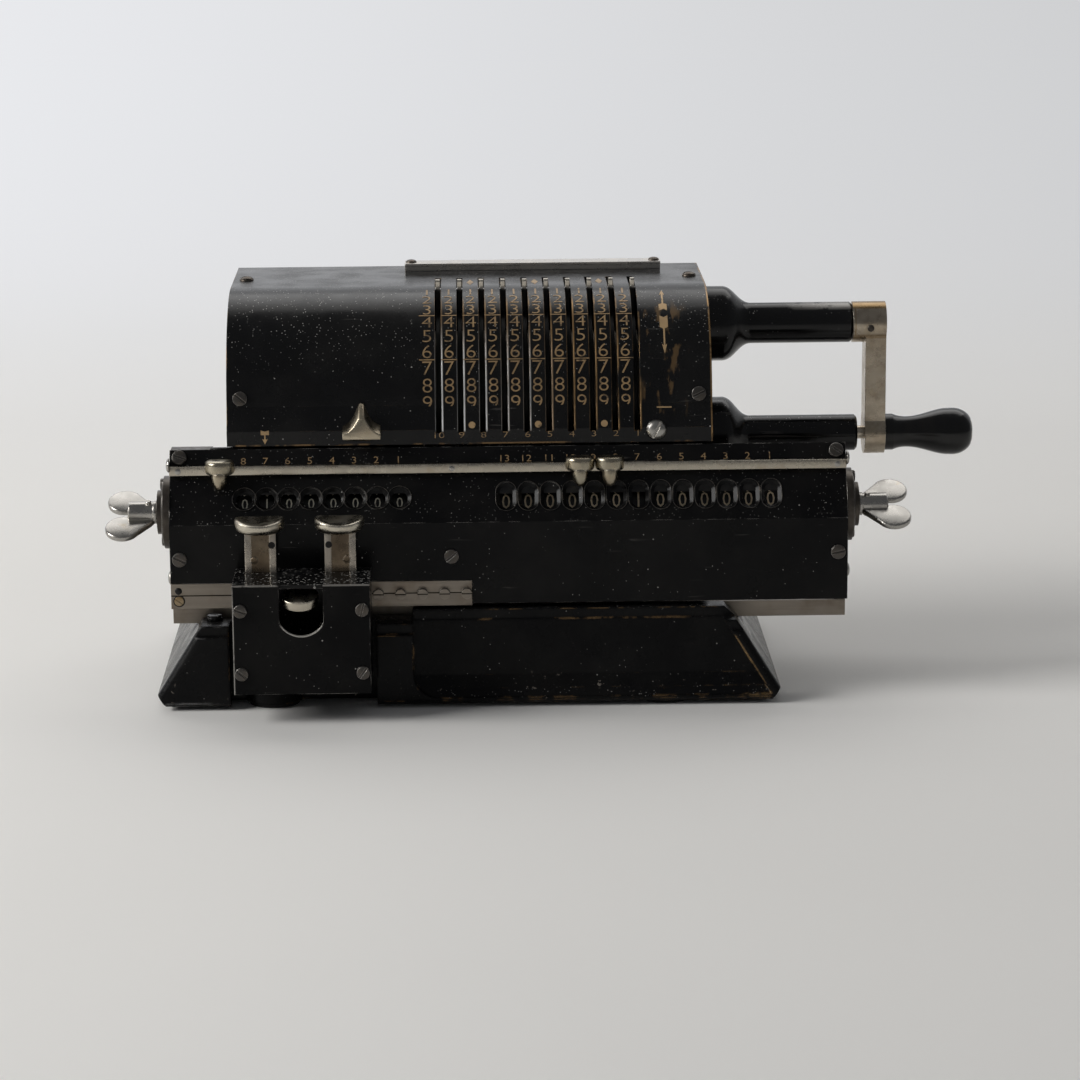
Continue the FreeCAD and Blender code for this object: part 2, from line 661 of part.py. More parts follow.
def base_silhouette(top_points):
    """The base seen from the front: toes, sloping ends and a given top."""
    half = BASE_HALF_WIDTH
    right = [(half - BASE_TOE_INSET, 0), (half, BASE_TOE_HEIGHT), (SHOULDER_HALF_WIDTH, SHOULDER_HEIGHT)]
    left = [(-x, z) for x, z in right[::-1]]
    return right + top_points + left


def foot_places():
    return [(x, y) for x in (-FOOT_X, FOOT_X) for y in (-FOOT_Y, FOOT_Y)]


def base_casting():
    """A cast base with sloping ends, a scooped front, the carriage channel and the deck."""
    front = -BASE_HALF_DEPTH
    back = BASE_HALF_DEPTH
    ledge = [(LEDGE_HALF_WIDTH, LEDGE_HEIGHT), (LIP_RIGHT, LIP_HEIGHT), (SCOOP_LEFT, LIP_HEIGHT),
             (SCOOP_LEFT, LEDGE_HEIGHT), (-LEDGE_HALF_WIDTH, LEDGE_HEIGHT)]
    body = along(base_silhouette(ledge), front, back)
    slope_x = (BASE_HALF_WIDTH + SHOULDER_HALF_WIDTH) / 2
    corners = [e for e in body.Edges if abs(abs(e.CenterOfMass.x) - slope_x) < 1.0
               and abs(e.CenterOfMass.y - front) < 0.01]
    body = body.makeFillet(CORNER_RADIUS, corners)
    section = [(front + 1.2, 0), (front, 1.2), (front, SHOULDER_HEIGHT),
               (front + LEDGE_SETBACK, SHOULDER_HEIGHT),
               (front + LEDGE_SETBACK, LEDGE_HEIGHT), (front + LIP_SETBACK, LEDGE_HEIGHT),
               (front + LIP_SETBACK, LIP_HEIGHT), (CHANNEL_FRONT, LIP_HEIGHT), (CHANNEL_FRONT, CHANNEL_FLOOR),
               (CHANNEL_BACK, CHANNEL_FLOOR), (CHANNEL_BACK, DECK_HEIGHT), (back - 4.0, DECK_HEIGHT),
               (back, DECK_HEIGHT - 4.0), (back, 0)]
    body = body.common(across(section, -BASE_HALF_WIDTH - 5, BASE_HALF_WIDTH + 5))
    lean = (BASE_HALF_WIDTH - SHOULDER_HALF_WIDTH) / (SHOULDER_HEIGHT - BASE_TOE_HEIGHT)
    rim_top = SHOULDER_HALF_WIDTH - SCOOP_RIM + lean * (SHOULDER_HEIGHT - LIP_HEIGHT - 1)
    rim_bottom = SHOULDER_HALF_WIDTH - SCOOP_RIM + lean * (SHOULDER_HEIGHT - SCOOP_BOTTOM)
    opening = [(SCOOP_LEFT, LIP_HEIGHT + 1), (SCOOP_LEFT, SCOOP_BOTTOM), (rim_bottom, SCOOP_BOTTOM),
               (rim_top, LIP_HEIGHT + 1)]
    hollow = along(opening, front - 1, front + LIP_SETBACK + 1)
    corner = [e for e in hollow.Edges if abs(e.CenterOfMass.x - SCOOP_LEFT) < 0.01
              and abs(e.CenterOfMass.z - SCOOP_BOTTOM) < 0.01]
    hollow = hollow.makeFillet(SCOOP_FILLET, corner)
    scoop = [(front - 1, SCOOP_BOTTOM), (front + 0.8, SCOOP_BOTTOM), (front + 3.4, SCOOP_BOTTOM + 2.6),
             (front + 5.4, SCOOP_BOTTOM + 7.2), (front + LIP_SETBACK, LIP_HEIGHT + 1),
             (front - 1, LIP_HEIGHT + 1)]
    hollow = hollow.common(across(scoop, SCOOP_LEFT - 1, BASE_HALF_WIDTH))
    bay = box((KEY_BAY_LEFT, KEY_BAY_RIGHT), (front - 1, KEY_BAY_BACK), (-1, LIP_HEIGHT + 1))
    body = body.cut([hollow, bay])
    lug = upright(-FOOT_X, -FOOT_Y, 0, FOOT_LUG_HEIGHT, FOOT_RADIUS + FOOT_LUG_WALL)
    body = fuse([body, lug])
    cavity = box((-CAVITY_HALF_WIDTH, CAVITY_HALF_WIDTH), (-CAVITY_HALF_DEPTH, CAVITY_HALF_DEPTH),
                 (-1, CAVITY_HEIGHT))
    pockets = [upright(x, y, -1, FOOT_HEIGHT - FOOT_STAND, FOOT_RADIUS + SEATED) for x, y in foot_places()]
    plate_seat = base_plate_box(PAINT_GAP, -1)
    save("base_casting", body.cut([cavity, plate_seat] + pockets))


def base_plate_box(gap, bottom):
    half_width = CAVITY_HALF_WIDTH + BASE_PLATE_MARGIN + gap
    half_depth = CAVITY_HALF_DEPTH + BASE_PLATE_MARGIN + gap
    return box((-half_width, half_width), (-half_depth, half_depth), (bottom, BASE_PLATE_THICKNESS))


def rubber_feet():
    top = FOOT_HEIGHT - FOOT_STAND
    save("rubber_feet", [upright(x, y, -FOOT_STAND, top, FOOT_RADIUS) for x, y in foot_places()])


def carriage_guide():
    """A steel bar in the channel whose tongue holds the carriage rail down."""
    x = (-GUIDE_HALF_LENGTH, GUIDE_HALF_LENGTH)
    front = RAIL_BACK + RAIL_GAP
    middle = (RAIL_BOTTOM + RAIL_TOP) / 2
    bar = box(x, (front, front + GUIDE_THICKNESS), (CHANNEL_FLOOR, GUIDE_TOP))
    shelf = box(x, (RAIL_FRONT + 0.5, front + 0.5), (CHANNEL_FLOOR, RAIL_BOTTOM - 0.1))
    half = TONGUE_THICKNESS / 2
    tongue = box(x, (front - TONGUE_REACH, front + 0.5), (middle - half, middle + half))
    save("carriage_guide", fuse([bar, shelf, tongue]))


def carriage_rail():
    x = (CARRIAGE_LEFT, CARRIAGE_RIGHT)
    middle = (RAIL_BOTTOM + RAIL_TOP) / 2
    bar = box(x, (RAIL_FRONT, RAIL_BACK), (RAIL_BOTTOM, RAIL_TOP))
    half = TONGUE_THICKNESS / 2 + RAIL_GAP
    groove = box((x[0] - 1, x[1] + 1), (RAIL_BACK - TONGUE_REACH, RAIL_BACK + 1),
                 (middle - half, middle + half))
    save("carriage_rail", bar.cut(groove))


def face_outline():
    """The carriage's face from its top edge down, as (y, z) points."""
    return [(CARRIAGE_TOP_Y, CARRIAGE_TOP_Z), (WINDOW_TOP_Y, STRIP_TOP_Z), (WINDOW_TOP_Y, STRIP_BOTTOM_Z),
            (FRONT_Y, FRONT_TOP_Z), (FRONT_Y, FRONT_BOTTOM_Z)]


def window_plane():
    """Middle of the window face, its direction downwards and its outward normal."""
    y = (WINDOW_TOP_Y + FRONT_Y) / 2
    z = (STRIP_BOTTOM_Z + FRONT_TOP_Z) / 2
    length = math.hypot(FRONT_Y - WINDOW_TOP_Y, FRONT_TOP_Z - STRIP_BOTTOM_Z)
    down = V(0, (FRONT_Y - WINDOW_TOP_Y) / length, (FRONT_TOP_Z - STRIP_BOTTOM_Z) / length)
    return V(0, y, z), down, V(0, down.z, -down.y)


def window_wire(x, width, height, depth):
    """A round-ended outline in the window face, at a depth below it."""
    middle, down, out = window_plane()
    centre = V(x, middle.y, middle.z) - out * depth
    radius = width / 2
    if height <= width:
        return Part.Wire(Part.Circle(centre, out, radius).toShape())
    reach = height / 2 - radius
    side = V(radius, 0, 0)
    top = centre - down * reach
    bottom = centre + down * reach
    return Part.Wire([
        Part.Arc(top - side, top - down * radius, top + side).toShape(),
        Part.makeLine(top + side, bottom + side),
        Part.Arc(bottom + side, bottom + down * radius, bottom - side).toShape(),
        Part.makeLine(bottom - side, top - side),
    ])


def window_cut(x, width, height):
    """A through window with a bevel around it."""
    middle, down, out = window_plane()
    through = Part.Face(window_wire(x, width, height, CARRIAGE_SHEET + 1)).extrude(out * (CARRIAGE_SHEET + 2))
    spread = 2 * WINDOW_BEVEL
    bevel = Part.makeLoft([window_wire(x, width, height, WINDOW_BEVEL_DEPTH),
                           window_wire(x, width + spread, height + spread, 0),
                           ], True, True)
    return [through, bevel]


def carriage_face_plate():
    plate = sheet(face_outline(), CARRIAGE_SHEET, CARRIAGE_LEFT, CARRIAGE_RIGHT)
    notch_y = (FRONT_Y - 1, FRONT_Y + CARRIAGE_SHEET + 1)
    cuts = [box((CARRIAGE_LEFT - 1, NOTCH_RIGHT), notch_y, (0, NOTCH_TOP))]
    for x in RESULT_XS:
        cuts += window_cut(x, RESULT_WINDOW_WIDTH, RESULT_WINDOW_HEIGHT)
    for x in COUNTER_XS:
        cuts += window_cut(x, COUNTER_WINDOW_WIDTH, COUNTER_WINDOW_WIDTH)
    cuts += [shank_hole(*place) for place in carriage_screw_places()]
    for cut in cuts:
        plate = plate.cut(cut)
    save("carriage_face_plate", plate)


def carriage_screw_places():
    """Screws on the carriage's front, and one at each end of the slope above the strip."""
    left = CARRIAGE_LEFT + PLATE_SCREW_INSET
    right = CARRIAGE_RIGHT - PLATE_SCREW_INSET
    y = (CARRIAGE_TOP_Y + WINDOW_TOP_Y) / 2
    z = (CARRIAGE_TOP_Z + STRIP_TOP_Z) / 2
    out = (0, STRIP_TOP_Z - CARRIAGE_TOP_Z, CARRIAGE_TOP_Y - WINDOW_TOP_Y)
    middle = CENTRE_BEARING_X + END_PLATE / 2
    front = [((x, FRONT_Y, PLATE_SCREW_Z), (0, -1, 0)) for x in (left, middle, right)]
    return front + [((x, y, z), out) for x in (left, right)]


def strip_screw_places():
    y = strip_front()
    z = (STRIP_TOP_Z + STRIP_BOTTOM_Z) / 2
    xs = (CARRIAGE_LEFT + STRIP_SCREW_INSET, CENTRE_BEARING_X + 2.5, CARRIAGE_RIGHT - STRIP_SCREW_INSET)
    return [((x, y, z), (0, -1, 0)) for x in xs]


def carriage_screws():
    places = enumerate(carriage_screw_places())
    save("carriage_screws", [screw(place, out, slot_turn=35.0 + 61 * i) for i, (place, out) in places])


def end_plate_outline(back_y):
    """The inside of the carriage's face, a foot on the rail and a back edge clear of the levers' sweep."""
    inner = inset(face_outline(), CARRIAGE_SHEET + PAINT_GAP)
    top = inner[0]
    clear = LEVER_TIP_RADIUS + 1.4

    def sweep_y(z):
        return ROTOR_Y - math.sqrt(clear ** 2 - (ROTOR_Z - z) ** 2)

    slope_z = (END_PLATE_SHOULDER_Z + top[1]) / 2
    foot = [(inner[-1][0], FRONT_BOTTOM_Z), (RAIL_FRONT, FRONT_BOTTOM_Z), (RAIL_FRONT, RAIL_TOP),
            (RAIL_BACK, RAIL_TOP), (RAIL_BACK, GUIDE_TOP + GUIDE_ROOM), (back_y, GUIDE_TOP + GUIDE_ROOM)]
    back = [(back_y, END_PLATE_SHOULDER_Z), (min(back_y, sweep_y(slope_z)) - 1.0, slope_z)]
    return inner[:-1] + foot + back


def carriage_plate(x0, x1, back_y=CARRIAGE_BACK_Y):
    """One upright plate of the carriage, with what is cut from it."""
    plate = across(end_plate_outline(back_y), x0, x1)
    bore_reach = 2 * (FLANGE_THICKNESS + BOSS_LENGTH)
    cuts = [rod(x0 - bore_reach, x1 + bore_reach, DIAL_Y, DIAL_Z, DIAL_SHAFT_RADIUS + RUNNING)]
    cuts += [shank_hole(*place) for place in carriage_screw_places()]
    if x1 < NOTCH_RIGHT:
        cuts.append(box((x0 - 1, x1 + 1), (FRONT_Y, rack_back() + PAINT_GAP), (0, NOTCH_TOP)))
    return plate, cuts


def carriage_ends():
    """Both end plates with their round flanges and bosses, and the bearing between the registers."""
    left, cuts = carriage_plate(CARRIAGE_LEFT, CARRIAGE_LEFT + END_PLATE)
    save("carriage_left_end", fuse([left, end_shelf()] + end_fitting(CARRIAGE_LEFT, -1)).cut(cuts))
    right, cuts = carriage_plate(CARRIAGE_RIGHT - END_PLATE, CARRIAGE_RIGHT)
    save("carriage_right_end", fuse([right] + end_fitting(CARRIAGE_RIGHT, 1)).cut(cuts))
    back_y = TRANSFER_Y - DIAL_TIP_RADIUS - GUIDE_ROOM / 2
    middle, cuts = carriage_plate(CENTRE_BEARING_X, CENTRE_BEARING_X + END_PLATE, back_y)
    save("carriage_centre_bearing", middle.cut(cuts))


def end_shelf():
    """A flat shelf behind the face's top edge, at the left end only."""
    inner = inset(face_outline(), CARRIAGE_SHEET + PAINT_GAP)
    y, z = inner[0]
    return box((CARRIAGE_LEFT, CARRIAGE_LEFT + SHELF_LENGTH), (y, y + SHELF_DEPTH), (z - SHELF_THICKNESS, z))


def end_fitting(x, direction):
    """A round flange and a boss around the clearing shaft."""
    flange = sorted((x, x + direction * FLANGE_THICKNESS))
    boss = sorted((x, x + direction * (FLANGE_THICKNESS + BOSS_LENGTH)))
    return [rod(*flange, DIAL_Y, DIAL_Z, FLANGE_RADIUS), rod(*boss, DIAL_Y, DIAL_Z, BOSS_RADIUS)]


def strip_front():
    return WINDOW_TOP_Y - STRIP_THICKNESS


def marker_strip():
    """The nickel strip on the step in the face, which carries the decimal markers."""
    y0 = strip_front()
    z = (STRIP_BOTTOM_Z + STRIP_MARGIN, STRIP_TOP_Z - STRIP_MARGIN)
    strip = box((CARRIAGE_LEFT, CARRIAGE_RIGHT), (y0, y0 + STRIP_THICKNESS), z)
    heads = [Part.makeCylinder(STRIP_SCREW_RADIUS, STRIP_SCREW_HEIGHT, V(*place), V(*out))
             for place, out in strip_screw_places()]
    save("marker_strip", fuse([strip] + heads))


def rack_back():
    return FRONT_Y + RACK_SETBACK + RACK_THICKNESS


def stop_rack():
    """A steel strip in the notch, with a stop pin at every step of the carriage."""
    x = (CARRIAGE_LEFT, NOTCH_RIGHT - RACK_GAP)
    strip = box(x, (rack_back() - RACK_THICKNESS, rack_back()), (RACK_BOTTOM, NOTCH_TOP - RACK_GAP))
    pins = []
    for i in range(STOP_COUNT):
        x = FIRST_STOP_X - PITCH * i
        pins.append(Part.makeCylinder(STOP_RADIUS, STOP_REACH, V(x, FRONT_Y + 0.4, STOP_Z), V(0, -1, 0)))
    save("stop_rack", fuse([strip] + pins))


def dial(x, side_bore):
    gear_end = x + GEAR_PLANE_OFFSET + DIAL_GEAR_WIDTH / 2
    drum = rod(gear_end, x + DIAL_DRUM_WIDTH / 2, DIAL_Y, DIAL_Z, DIAL_DRUM_RADIUS)
    bore = rod(x - PITCH, x + PITCH, DIAL_Y, DIAL_Z, side_bore)
    return fuse([drum.cut(bore), dial_gear(x, DIAL_Y, DIAL_Z, TRANSFER_LINE_ANGLE, side_bore)])


def dial_gear(x, y, z, first_tooth, bore):
    x0 = x + GEAR_PLANE_OFFSET - DIAL_GEAR_WIDTH / 2
    return gear(DIAL_TEETH, DIAL_MODULE, x0, x0 + DIAL_GEAR_WIDTH, y, z, first_tooth, bore)


def dials(node, xs):
    pattern = dial(0.0, DIAL_SHAFT_RADIUS + SEATED)
    save(node, [moved(pattern, x) for x in xs])


def transfer_gears():
    """Ten gears on the transfer shaft, each a gear with a long hub, and one more for the counter."""
    half_step = 180.0 / DIAL_TEETH
    pattern = dial_gear(0.0, TRANSFER_Y, TRANSFER_Z, TRANSFER_LINE_ANGLE + 180 + half_step,
                        TRANSFER_SHAFT_RADIUS + RUNNING)
    middle = GEAR_PLANE_OFFSET
    half = PITCH / 2 - 0.1
    hub = transfer_hub(middle - half, middle + half)
    save("transfer_gears", [moved(fuse([pattern, hub]), x) for x in LEVER_XS])
    hub = transfer_hub(middle - DIAL_GEAR_WIDTH / 2, middle + half)
    save("counter_transfer_gear", moved(fuse([pattern, hub]), COUNTER_DRIVE_X))


def transfer_hub(x0, x1):
    bore = rod(x0 - 1, x1 + 1, TRANSFER_Y, TRANSFER_Z, TRANSFER_SHAFT_RADIUS + RUNNING)
    return rod(x0, x1, TRANSFER_Y, TRANSFER_Z, TRANSFER_HUB_RADIUS).cut(bore)


def transfer_shaft():
    shaft = rod(LEFT_PLATE_X[0], RIGHT_PLATE_X[1], TRANSFER_Y, TRANSFER_Z, TRANSFER_SHAFT_RADIUS)
    save("transfer_shaft", shaft)


def wing_nut(node, inner_x, direction):
    """A wing nut whose hub starts at inner_x and points outwards along direction."""
    hub_end = inner_x + direction * WING_HUB_LENGTH
    hub = rod(min(inner_x, hub_end), max(inner_x, hub_end), DIAL_Y, DIAL_Z, WING_HUB_RADIUS)
    blade_x = inner_x + direction * WING_BLADE_OUT
    half = WING_BLADE_THICKNESS / 2
    pieces = [hub]
    for side in (-1, 1):
        centre = V(blade_x, DIAL_Y + side * WING_BLADE_REACH, DIAL_Z - half)
        paddle = Part.makeCylinder(WING_BLADE_RADIUS, WING_BLADE_THICKNESS, centre, V(0, 0, 1))
        neck_x = sorted((inner_x + direction * WING_NECK_START, blade_x))
        neck_y = sorted((DIAL_Y, DIAL_Y + side * WING_BLADE_REACH))
        neck = box(neck_x, neck_y, (DIAL_Z - half, DIAL_Z + half))
        pieces += [paddle, neck]
    pin_foot = V(inner_x + direction * WING_PIN_PLACE, DIAL_Y, DIAL_Z - WING_PIN_LENGTH / 2)
    pin = Part.makeCylinder(WING_PIN_RADIUS, WING_PIN_LENGTH, pin_foot, V(0, 0, 1))
    nut = turn_x(fuse(pieces + [pin]), WING_TILT, DIAL_Y, DIAL_Z)
    reach = inner_x + direction * (WING_HUB_LENGTH - 1.0)
    bore = rod(min(inner_x - direction, reach), max(inner_x - direction, reach), DIAL_Y, DIAL_Z,
               DIAL_SHAFT_RADIUS + SEATED)
    save(node, nut.cut(bore))


def registers():
    """Both clearing shafts with their wing nuts and dials."""
    left_face = CARRIAGE_LEFT - FLANGE_THICKNESS - BOSS_LENGTH - WING_GAP
    right_face = CARRIAGE_RIGHT + FLANGE_THICKNESS + BOSS_LENGTH + WING_GAP
    middle = CENTRE_BEARING_X + END_PLATE / 2
    shaft_in_hub = WING_HUB_LENGTH - 1.2
    save("counter_shaft", rod(left_face - shaft_in_hub, middle - 0.2, DIAL_Y, DIAL_Z, DIAL_SHAFT_RADIUS))
    save("result_shaft", rod(middle + 0.2, right_face + shaft_in_hub, DIAL_Y, DIAL_Z, DIAL_SHAFT_RADIUS))
    wing_nut("counter_wing_nut", left_face, -1)
    wing_nut("result_wing_nut", right_face, 1)
    dials("counter_dials", COUNTER_XS)
    dials("result_dials", RESULT_XS)


def decimal_markers():
    """Round caps that ride on the strip, flat at the back, each with a tapering tip over the digits."""
    y_front = strip_front() - MARKER_GAP
    radius = MARKER_WIDTH / 2
    for name, x in zip(("left", "middle", "right"), MARKER_X):
        cap = upright(x, y_front - MARKER_CAP_SETBACK, MARKER_CAP_BOTTOM, MARKER_CAP_TOP, radius)
        cap = cap.makeChamfer(MARKER_CORNER, [e for e in cap.Edges if e.BoundBox.ZMin > MARKER_CAP_TOP - 0.1])
        cap = cap.common(box((x - radius, x + radius), (y_front - 2 * radius, y_front), (0, MARKER_CAP_TOP)))
        hook_half = radius - MARKER_HOOK_INSET
        hook = box((x - hook_half, x + hook_half), (y_front - 1, strip_front() + STRIP_THICKNESS / 2),
                   (STRIP_TOP_Z + PAINT_GAP, MARKER_CAP_TOP - MARKER_HOOK_INSET))
        tip_top = V(x, y_front - MARKER_TIP_DEPTH, MARKER_CAP_BOTTOM + 1)
        straight = (tip_top.z - MARKER_TIP_BOTTOM) / 2
        down = V(0, 0, -1)
        tip = Part.makeCylinder(MARKER_TIP_RADIUS, straight, tip_top, down)
        tip_middle = tip_top + down * straight
        point = Part.makeCone(MARKER_TIP_RADIUS, MARKER_TIP_END_RADIUS, straight, tip_middle, down)
        save(f"decimal_marker_{name}", fuse([cap, hook, tip, point]))


def crank_bearing():
    """The flanged bearing tube of the crank, black enamelled."""
    tube = flanged_tube(SLEEVE_END, CRANK_Z, SLEEVE_RADIUS)
    bore = rod(RIGHT_PLATE_X[1] - 1, SLEEVE_END + 1, CRANK_Y, CRANK_Z, CRANK_SHAFT_RADIUS + RUNNING)
    save("crank_bearing", tube.cut(bore))


def flanged_tube(end, z, radius):
    """A turned bar with a flange whose shoulder sweeps down to it in one smooth curve."""
    x0 = RIGHT_PLATE_X[1]
    flange = BEARING_FLANGE_RADIUS

    def at(x, reach):
        return V(x, 0, reach)

    sweep = Part.BSplineCurve()
    sweep.interpolate([
        at(BEARING_FLANGE_END, flange),
        at(BEARING_FLANGE_END + BEARING_SHOULDER, flange - 0.35),
        at((BEARING_FLANGE_END + BEARING_CONE_END) / 2, (flange + radius) / 2),
        at(BEARING_CONE_END - BEARING_SHOULDER, radius + 0.35),
        at(BEARING_CONE_END, radius),
    ])
    corner = BEARING_CORNER
    edges = [
        Part.makeLine(at(x0, 0), at(x0, flange)),
        Part.makeLine(at(x0, flange), at(BEARING_FLANGE_END, flange)),
        sweep.toShape(),
        Part.makeLine(at(BEARING_CONE_END, radius), at(end - corner, radius)),
        Part.makeLine(at(end - corner, radius), at(end, radius - corner)),
        Part.makeLine(at(end, radius - corner), at(end, 0)),
        Part.makeLine(at(end, 0), at(x0, 0)),
    ]
    bar = Part.Face(Part.Wire(edges)).revolve(V(0, 0, 0), V(1, 0, 0), 360)
    return moved(bar, y=CRANK_Y, z=z)


def crank_rest_post():
    bore = rod(POST_END - POST_BORE_DEPTH, POST_END + 1, CRANK_Y, GRIP_Z, LOCK_PIN_RADIUS + RUNNING)
    save("crank_rest_post", flanged_tube(POST_END, GRIP_Z, POST_RADIUS).cut(bore))


def crank():
    """Crank shaft with its gear, arm with hub and eye."""
    gear_end = DRIVE_GEAR_X + DRIVE_GEAR_WIDTH
    save("crank_shaft", rod(DRIVE_GEAR_X - 2, ARM_RIGHT - ARM_CAP, CRANK_Y, CRANK_Z, CRANK_SHAFT_RADIUS))
    save("crank_gear", gear(DRIVE_TEETH, DRIVE_MODULE, DRIVE_GEAR_X, gear_end, CRANK_Y, CRANK_Z,
                            DRIVE_LINE_ANGLE + 180, CRANK_SHAFT_RADIUS + SEATED))
    hub = rod(CRANK_HUB_START, ARM_RIGHT, CRANK_Y, CRANK_Z, CRANK_HUB_RADIUS)
    eye = rod(ARM_LEFT, ARM_RIGHT, CRANK_Y, GRIP_Z, ARM_EYE_RADIUS)
    web = box((ARM_LEFT, ARM_RIGHT), (CRANK_Y - ARM_HALF_DEPTH, CRANK_Y + ARM_HALF_DEPTH), (GRIP_Z, CRANK_Z))
    shaft_end = ARM_RIGHT - ARM_CAP
    shaft_hole = rod(CRANK_HUB_START - 1, shaft_end + SEATED, CRANK_Y, CRANK_Z, CRANK_SHAFT_RADIUS + SEATED)
    pin_hole = rod(ARM_LEFT - 1, ARM_RIGHT + 1, CRANK_Y, GRIP_Z, LOCK_PIN_RADIUS + RUNNING)
    save("crank_arm", fuse([hub, eye, web]).cut([shaft_hole, pin_hole]))


def crank_grip():
    """The lock pin, which is also the grip's spindle, and the turned black grip on it."""
    pin = rod(POST_END - LOCK_PIN_DEPTH, GRIP_END + 0.1, CRANK_Y, GRIP_Z, LOCK_PIN_RADIUS)
    head = rod(GRIP_END + 0.1, GRIP_END + 0.1 + SPINDLE_HEAD_LENGTH, CRANK_Y, GRIP_Z, SPINDLE_HEAD_RADIUS)
    save("crank_lock_spindle", fuse([pin, head]))

    def at(x, radius):
        return V(x, 0, radius)

    collar_end = at(GRIP_START + GRIP_COLLAR_LENGTH, GRIP_COLLAR_RADIUS)
    waist_x = GRIP_START + GRIP_WAIST_PLACE
    bulb_x = GRIP_START + GRIP_BULB_PLACE
    curve = Part.BSplineCurve()
    curve.interpolate([
        collar_end,
        at(waist_x, GRIP_WAIST_RADIUS),
        at((waist_x + bulb_x) / 2, (GRIP_WAIST_RADIUS + GRIP_BULB_RADIUS) / 2),
        at(bulb_x, GRIP_BULB_RADIUS),
        at(GRIP_END, GRIP_END_RADIUS),
    ])
    edges = [
        Part.makeLine(at(GRIP_START, 0), at(GRIP_START, GRIP_COLLAR_RADIUS)),
        Part.makeLine(at(GRIP_START, GRIP_COLLAR_RADIUS), collar_end),
        curve.toShape(),
        Part.makeLine(at(GRIP_END, GRIP_END_RADIUS), at(GRIP_END, 0)),
        Part.makeLine(at(GRIP_END, 0), at(GRIP_START, 0)),
    ]
    grip = Part.Face(Part.Wire(edges)).revolve(V(0, 0, 0), V(1, 0, 0), 360)
    grip = moved(grip, y=CRANK_Y, z=GRIP_Z)
    bore = rod(GRIP_START - 1, GRIP_END + 1, CRANK_Y, GRIP_Z, LOCK_PIN_RADIUS + RUNNING)
    save("crank_grip", grip.cut(bore))


def rotor():
    """Rotor shaft with its gear, ten pinwheel discs with their pins, the levers and the counting finger."""
    shaft = rod(LEFT_PLATE_X[0] - 0.6, RIGHT_PLATE_X[1], ROTOR_Y, ROTOR_Z, ROTOR_SHAFT_RADIUS)
    finger_x = COUNTER_DRIVE_X + GEAR_PLANE_OFFSET
    last_disc = LEVER_XS[-1] + GEAR_PLANE_OFFSET - DISC_THICKNESS / 2
    sleeve = rod(finger_x + 2.0, last_disc - 0.4, ROTOR_Y, ROTOR_Z, ROTOR_SLEEVE_RADIUS)
    save("rotor_shaft", fuse([shaft, sleeve]))
    gear_end = DRIVE_GEAR_X + DRIVE_GEAR_WIDTH
    save("rotor_gear", gear(DRIVE_TEETH, DRIVE_MODULE, DRIVE_GEAR_X, gear_end, ROTOR_Y, ROTOR_Z,
                            DRIVE_LINE_ANGLE + 180.0 / DRIVE_TEETH, ROTOR_SHAFT_RADIUS + SEATED))
    bore = ROTOR_SHAFT_RADIUS + SEATED
    ring_bore = LEVER_RING_RADIUS - LEVER_RING_WIDTH
    x0 = GEAR_PLANE_OFFSET - DISC_THICKNESS / 2
    x1 = GEAR_PLANE_OFFSET + DISC_THICKNESS / 2
    boss_end = x0 + PITCH - 0.4
    boss = rod(x0, boss_end, ROTOR_Y, ROTOR_Z, ring_bore - RUNNING)
    disc = fuse([rod(x0, x1, ROTOR_Y, ROTOR_Z, DISC_RADIUS), boss])
    disc = disc.cut(rod(x0 - 1, boss_end + 1, ROTOR_Y, ROTOR_Z, bore))
    grooves = []
    pins = []
    half = SETTING_PIN_WIDTH / 2
    gap = PIN_GROOVE_GAP
    for i in range(PIN_COUNT):
        angle = PIN_FAN_MIDDLE + PIN_STEP * (i - (PIN_COUNT - 1) / 2)
        y_in = ROTOR_Y + DISC_RADIUS - SETTING_PIN_LENGTH
        groove = box((x1 - 2 * half - gap, x1 + 1), (y_in - gap, ROTOR_Y + DISC_RADIUS + 1),
                     (ROTOR_Z - half - gap, ROTOR_Z + half + gap))
        pin = box((x1 - 2 * half, x1), (y_in, ROTOR_Y + DISC_RADIUS - 0.4), (ROTOR_Z - half, ROTOR_Z + half))
        grooves.append(turn_x(groove, angle, ROTOR_Y, ROTOR_Z))
        pins.append(turn_x(pin, angle, ROTOR_Y, ROTOR_Z))
    disc = disc.cut(grooves)
    save("pinwheel_discs", [moved(disc, x) for x in LEVER_XS])
    save("setting_pins", [moved(pin, x) for x in LEVER_XS for pin in pins])
    for number, x in enumerate(LEVER_XS, start=1):
        save(f"setting_lever_{number:02d}", moved(setting_lever(ring_bore), x))
    finger_ends = (finger_x - DIAL_GEAR_WIDTH / 2, finger_x + DIAL_GEAR_WIDTH / 2)
    hub = rod(*finger_ends, ROTOR_Y, ROTOR_Z, ROTOR_SLEEVE_RADIUS)
    arm = box(finger_ends, (ROTOR_Y, ROTOR_Y + TRANSFER_REACH - DIAL_TIP_RADIUS - 0.6),
              (ROTOR_Z - FINGER_HALF_WIDTH, ROTOR_Z + FINGER_HALF_WIDTH))
    finger_bore = rod(finger_x - DIAL_GEAR_WIDTH, finger_x + DIAL_GEAR_WIDTH, ROTOR_Y, ROTOR_Z, bore)
    save("counting_finger", fuse([hub, arm]).cut(finger_bore))


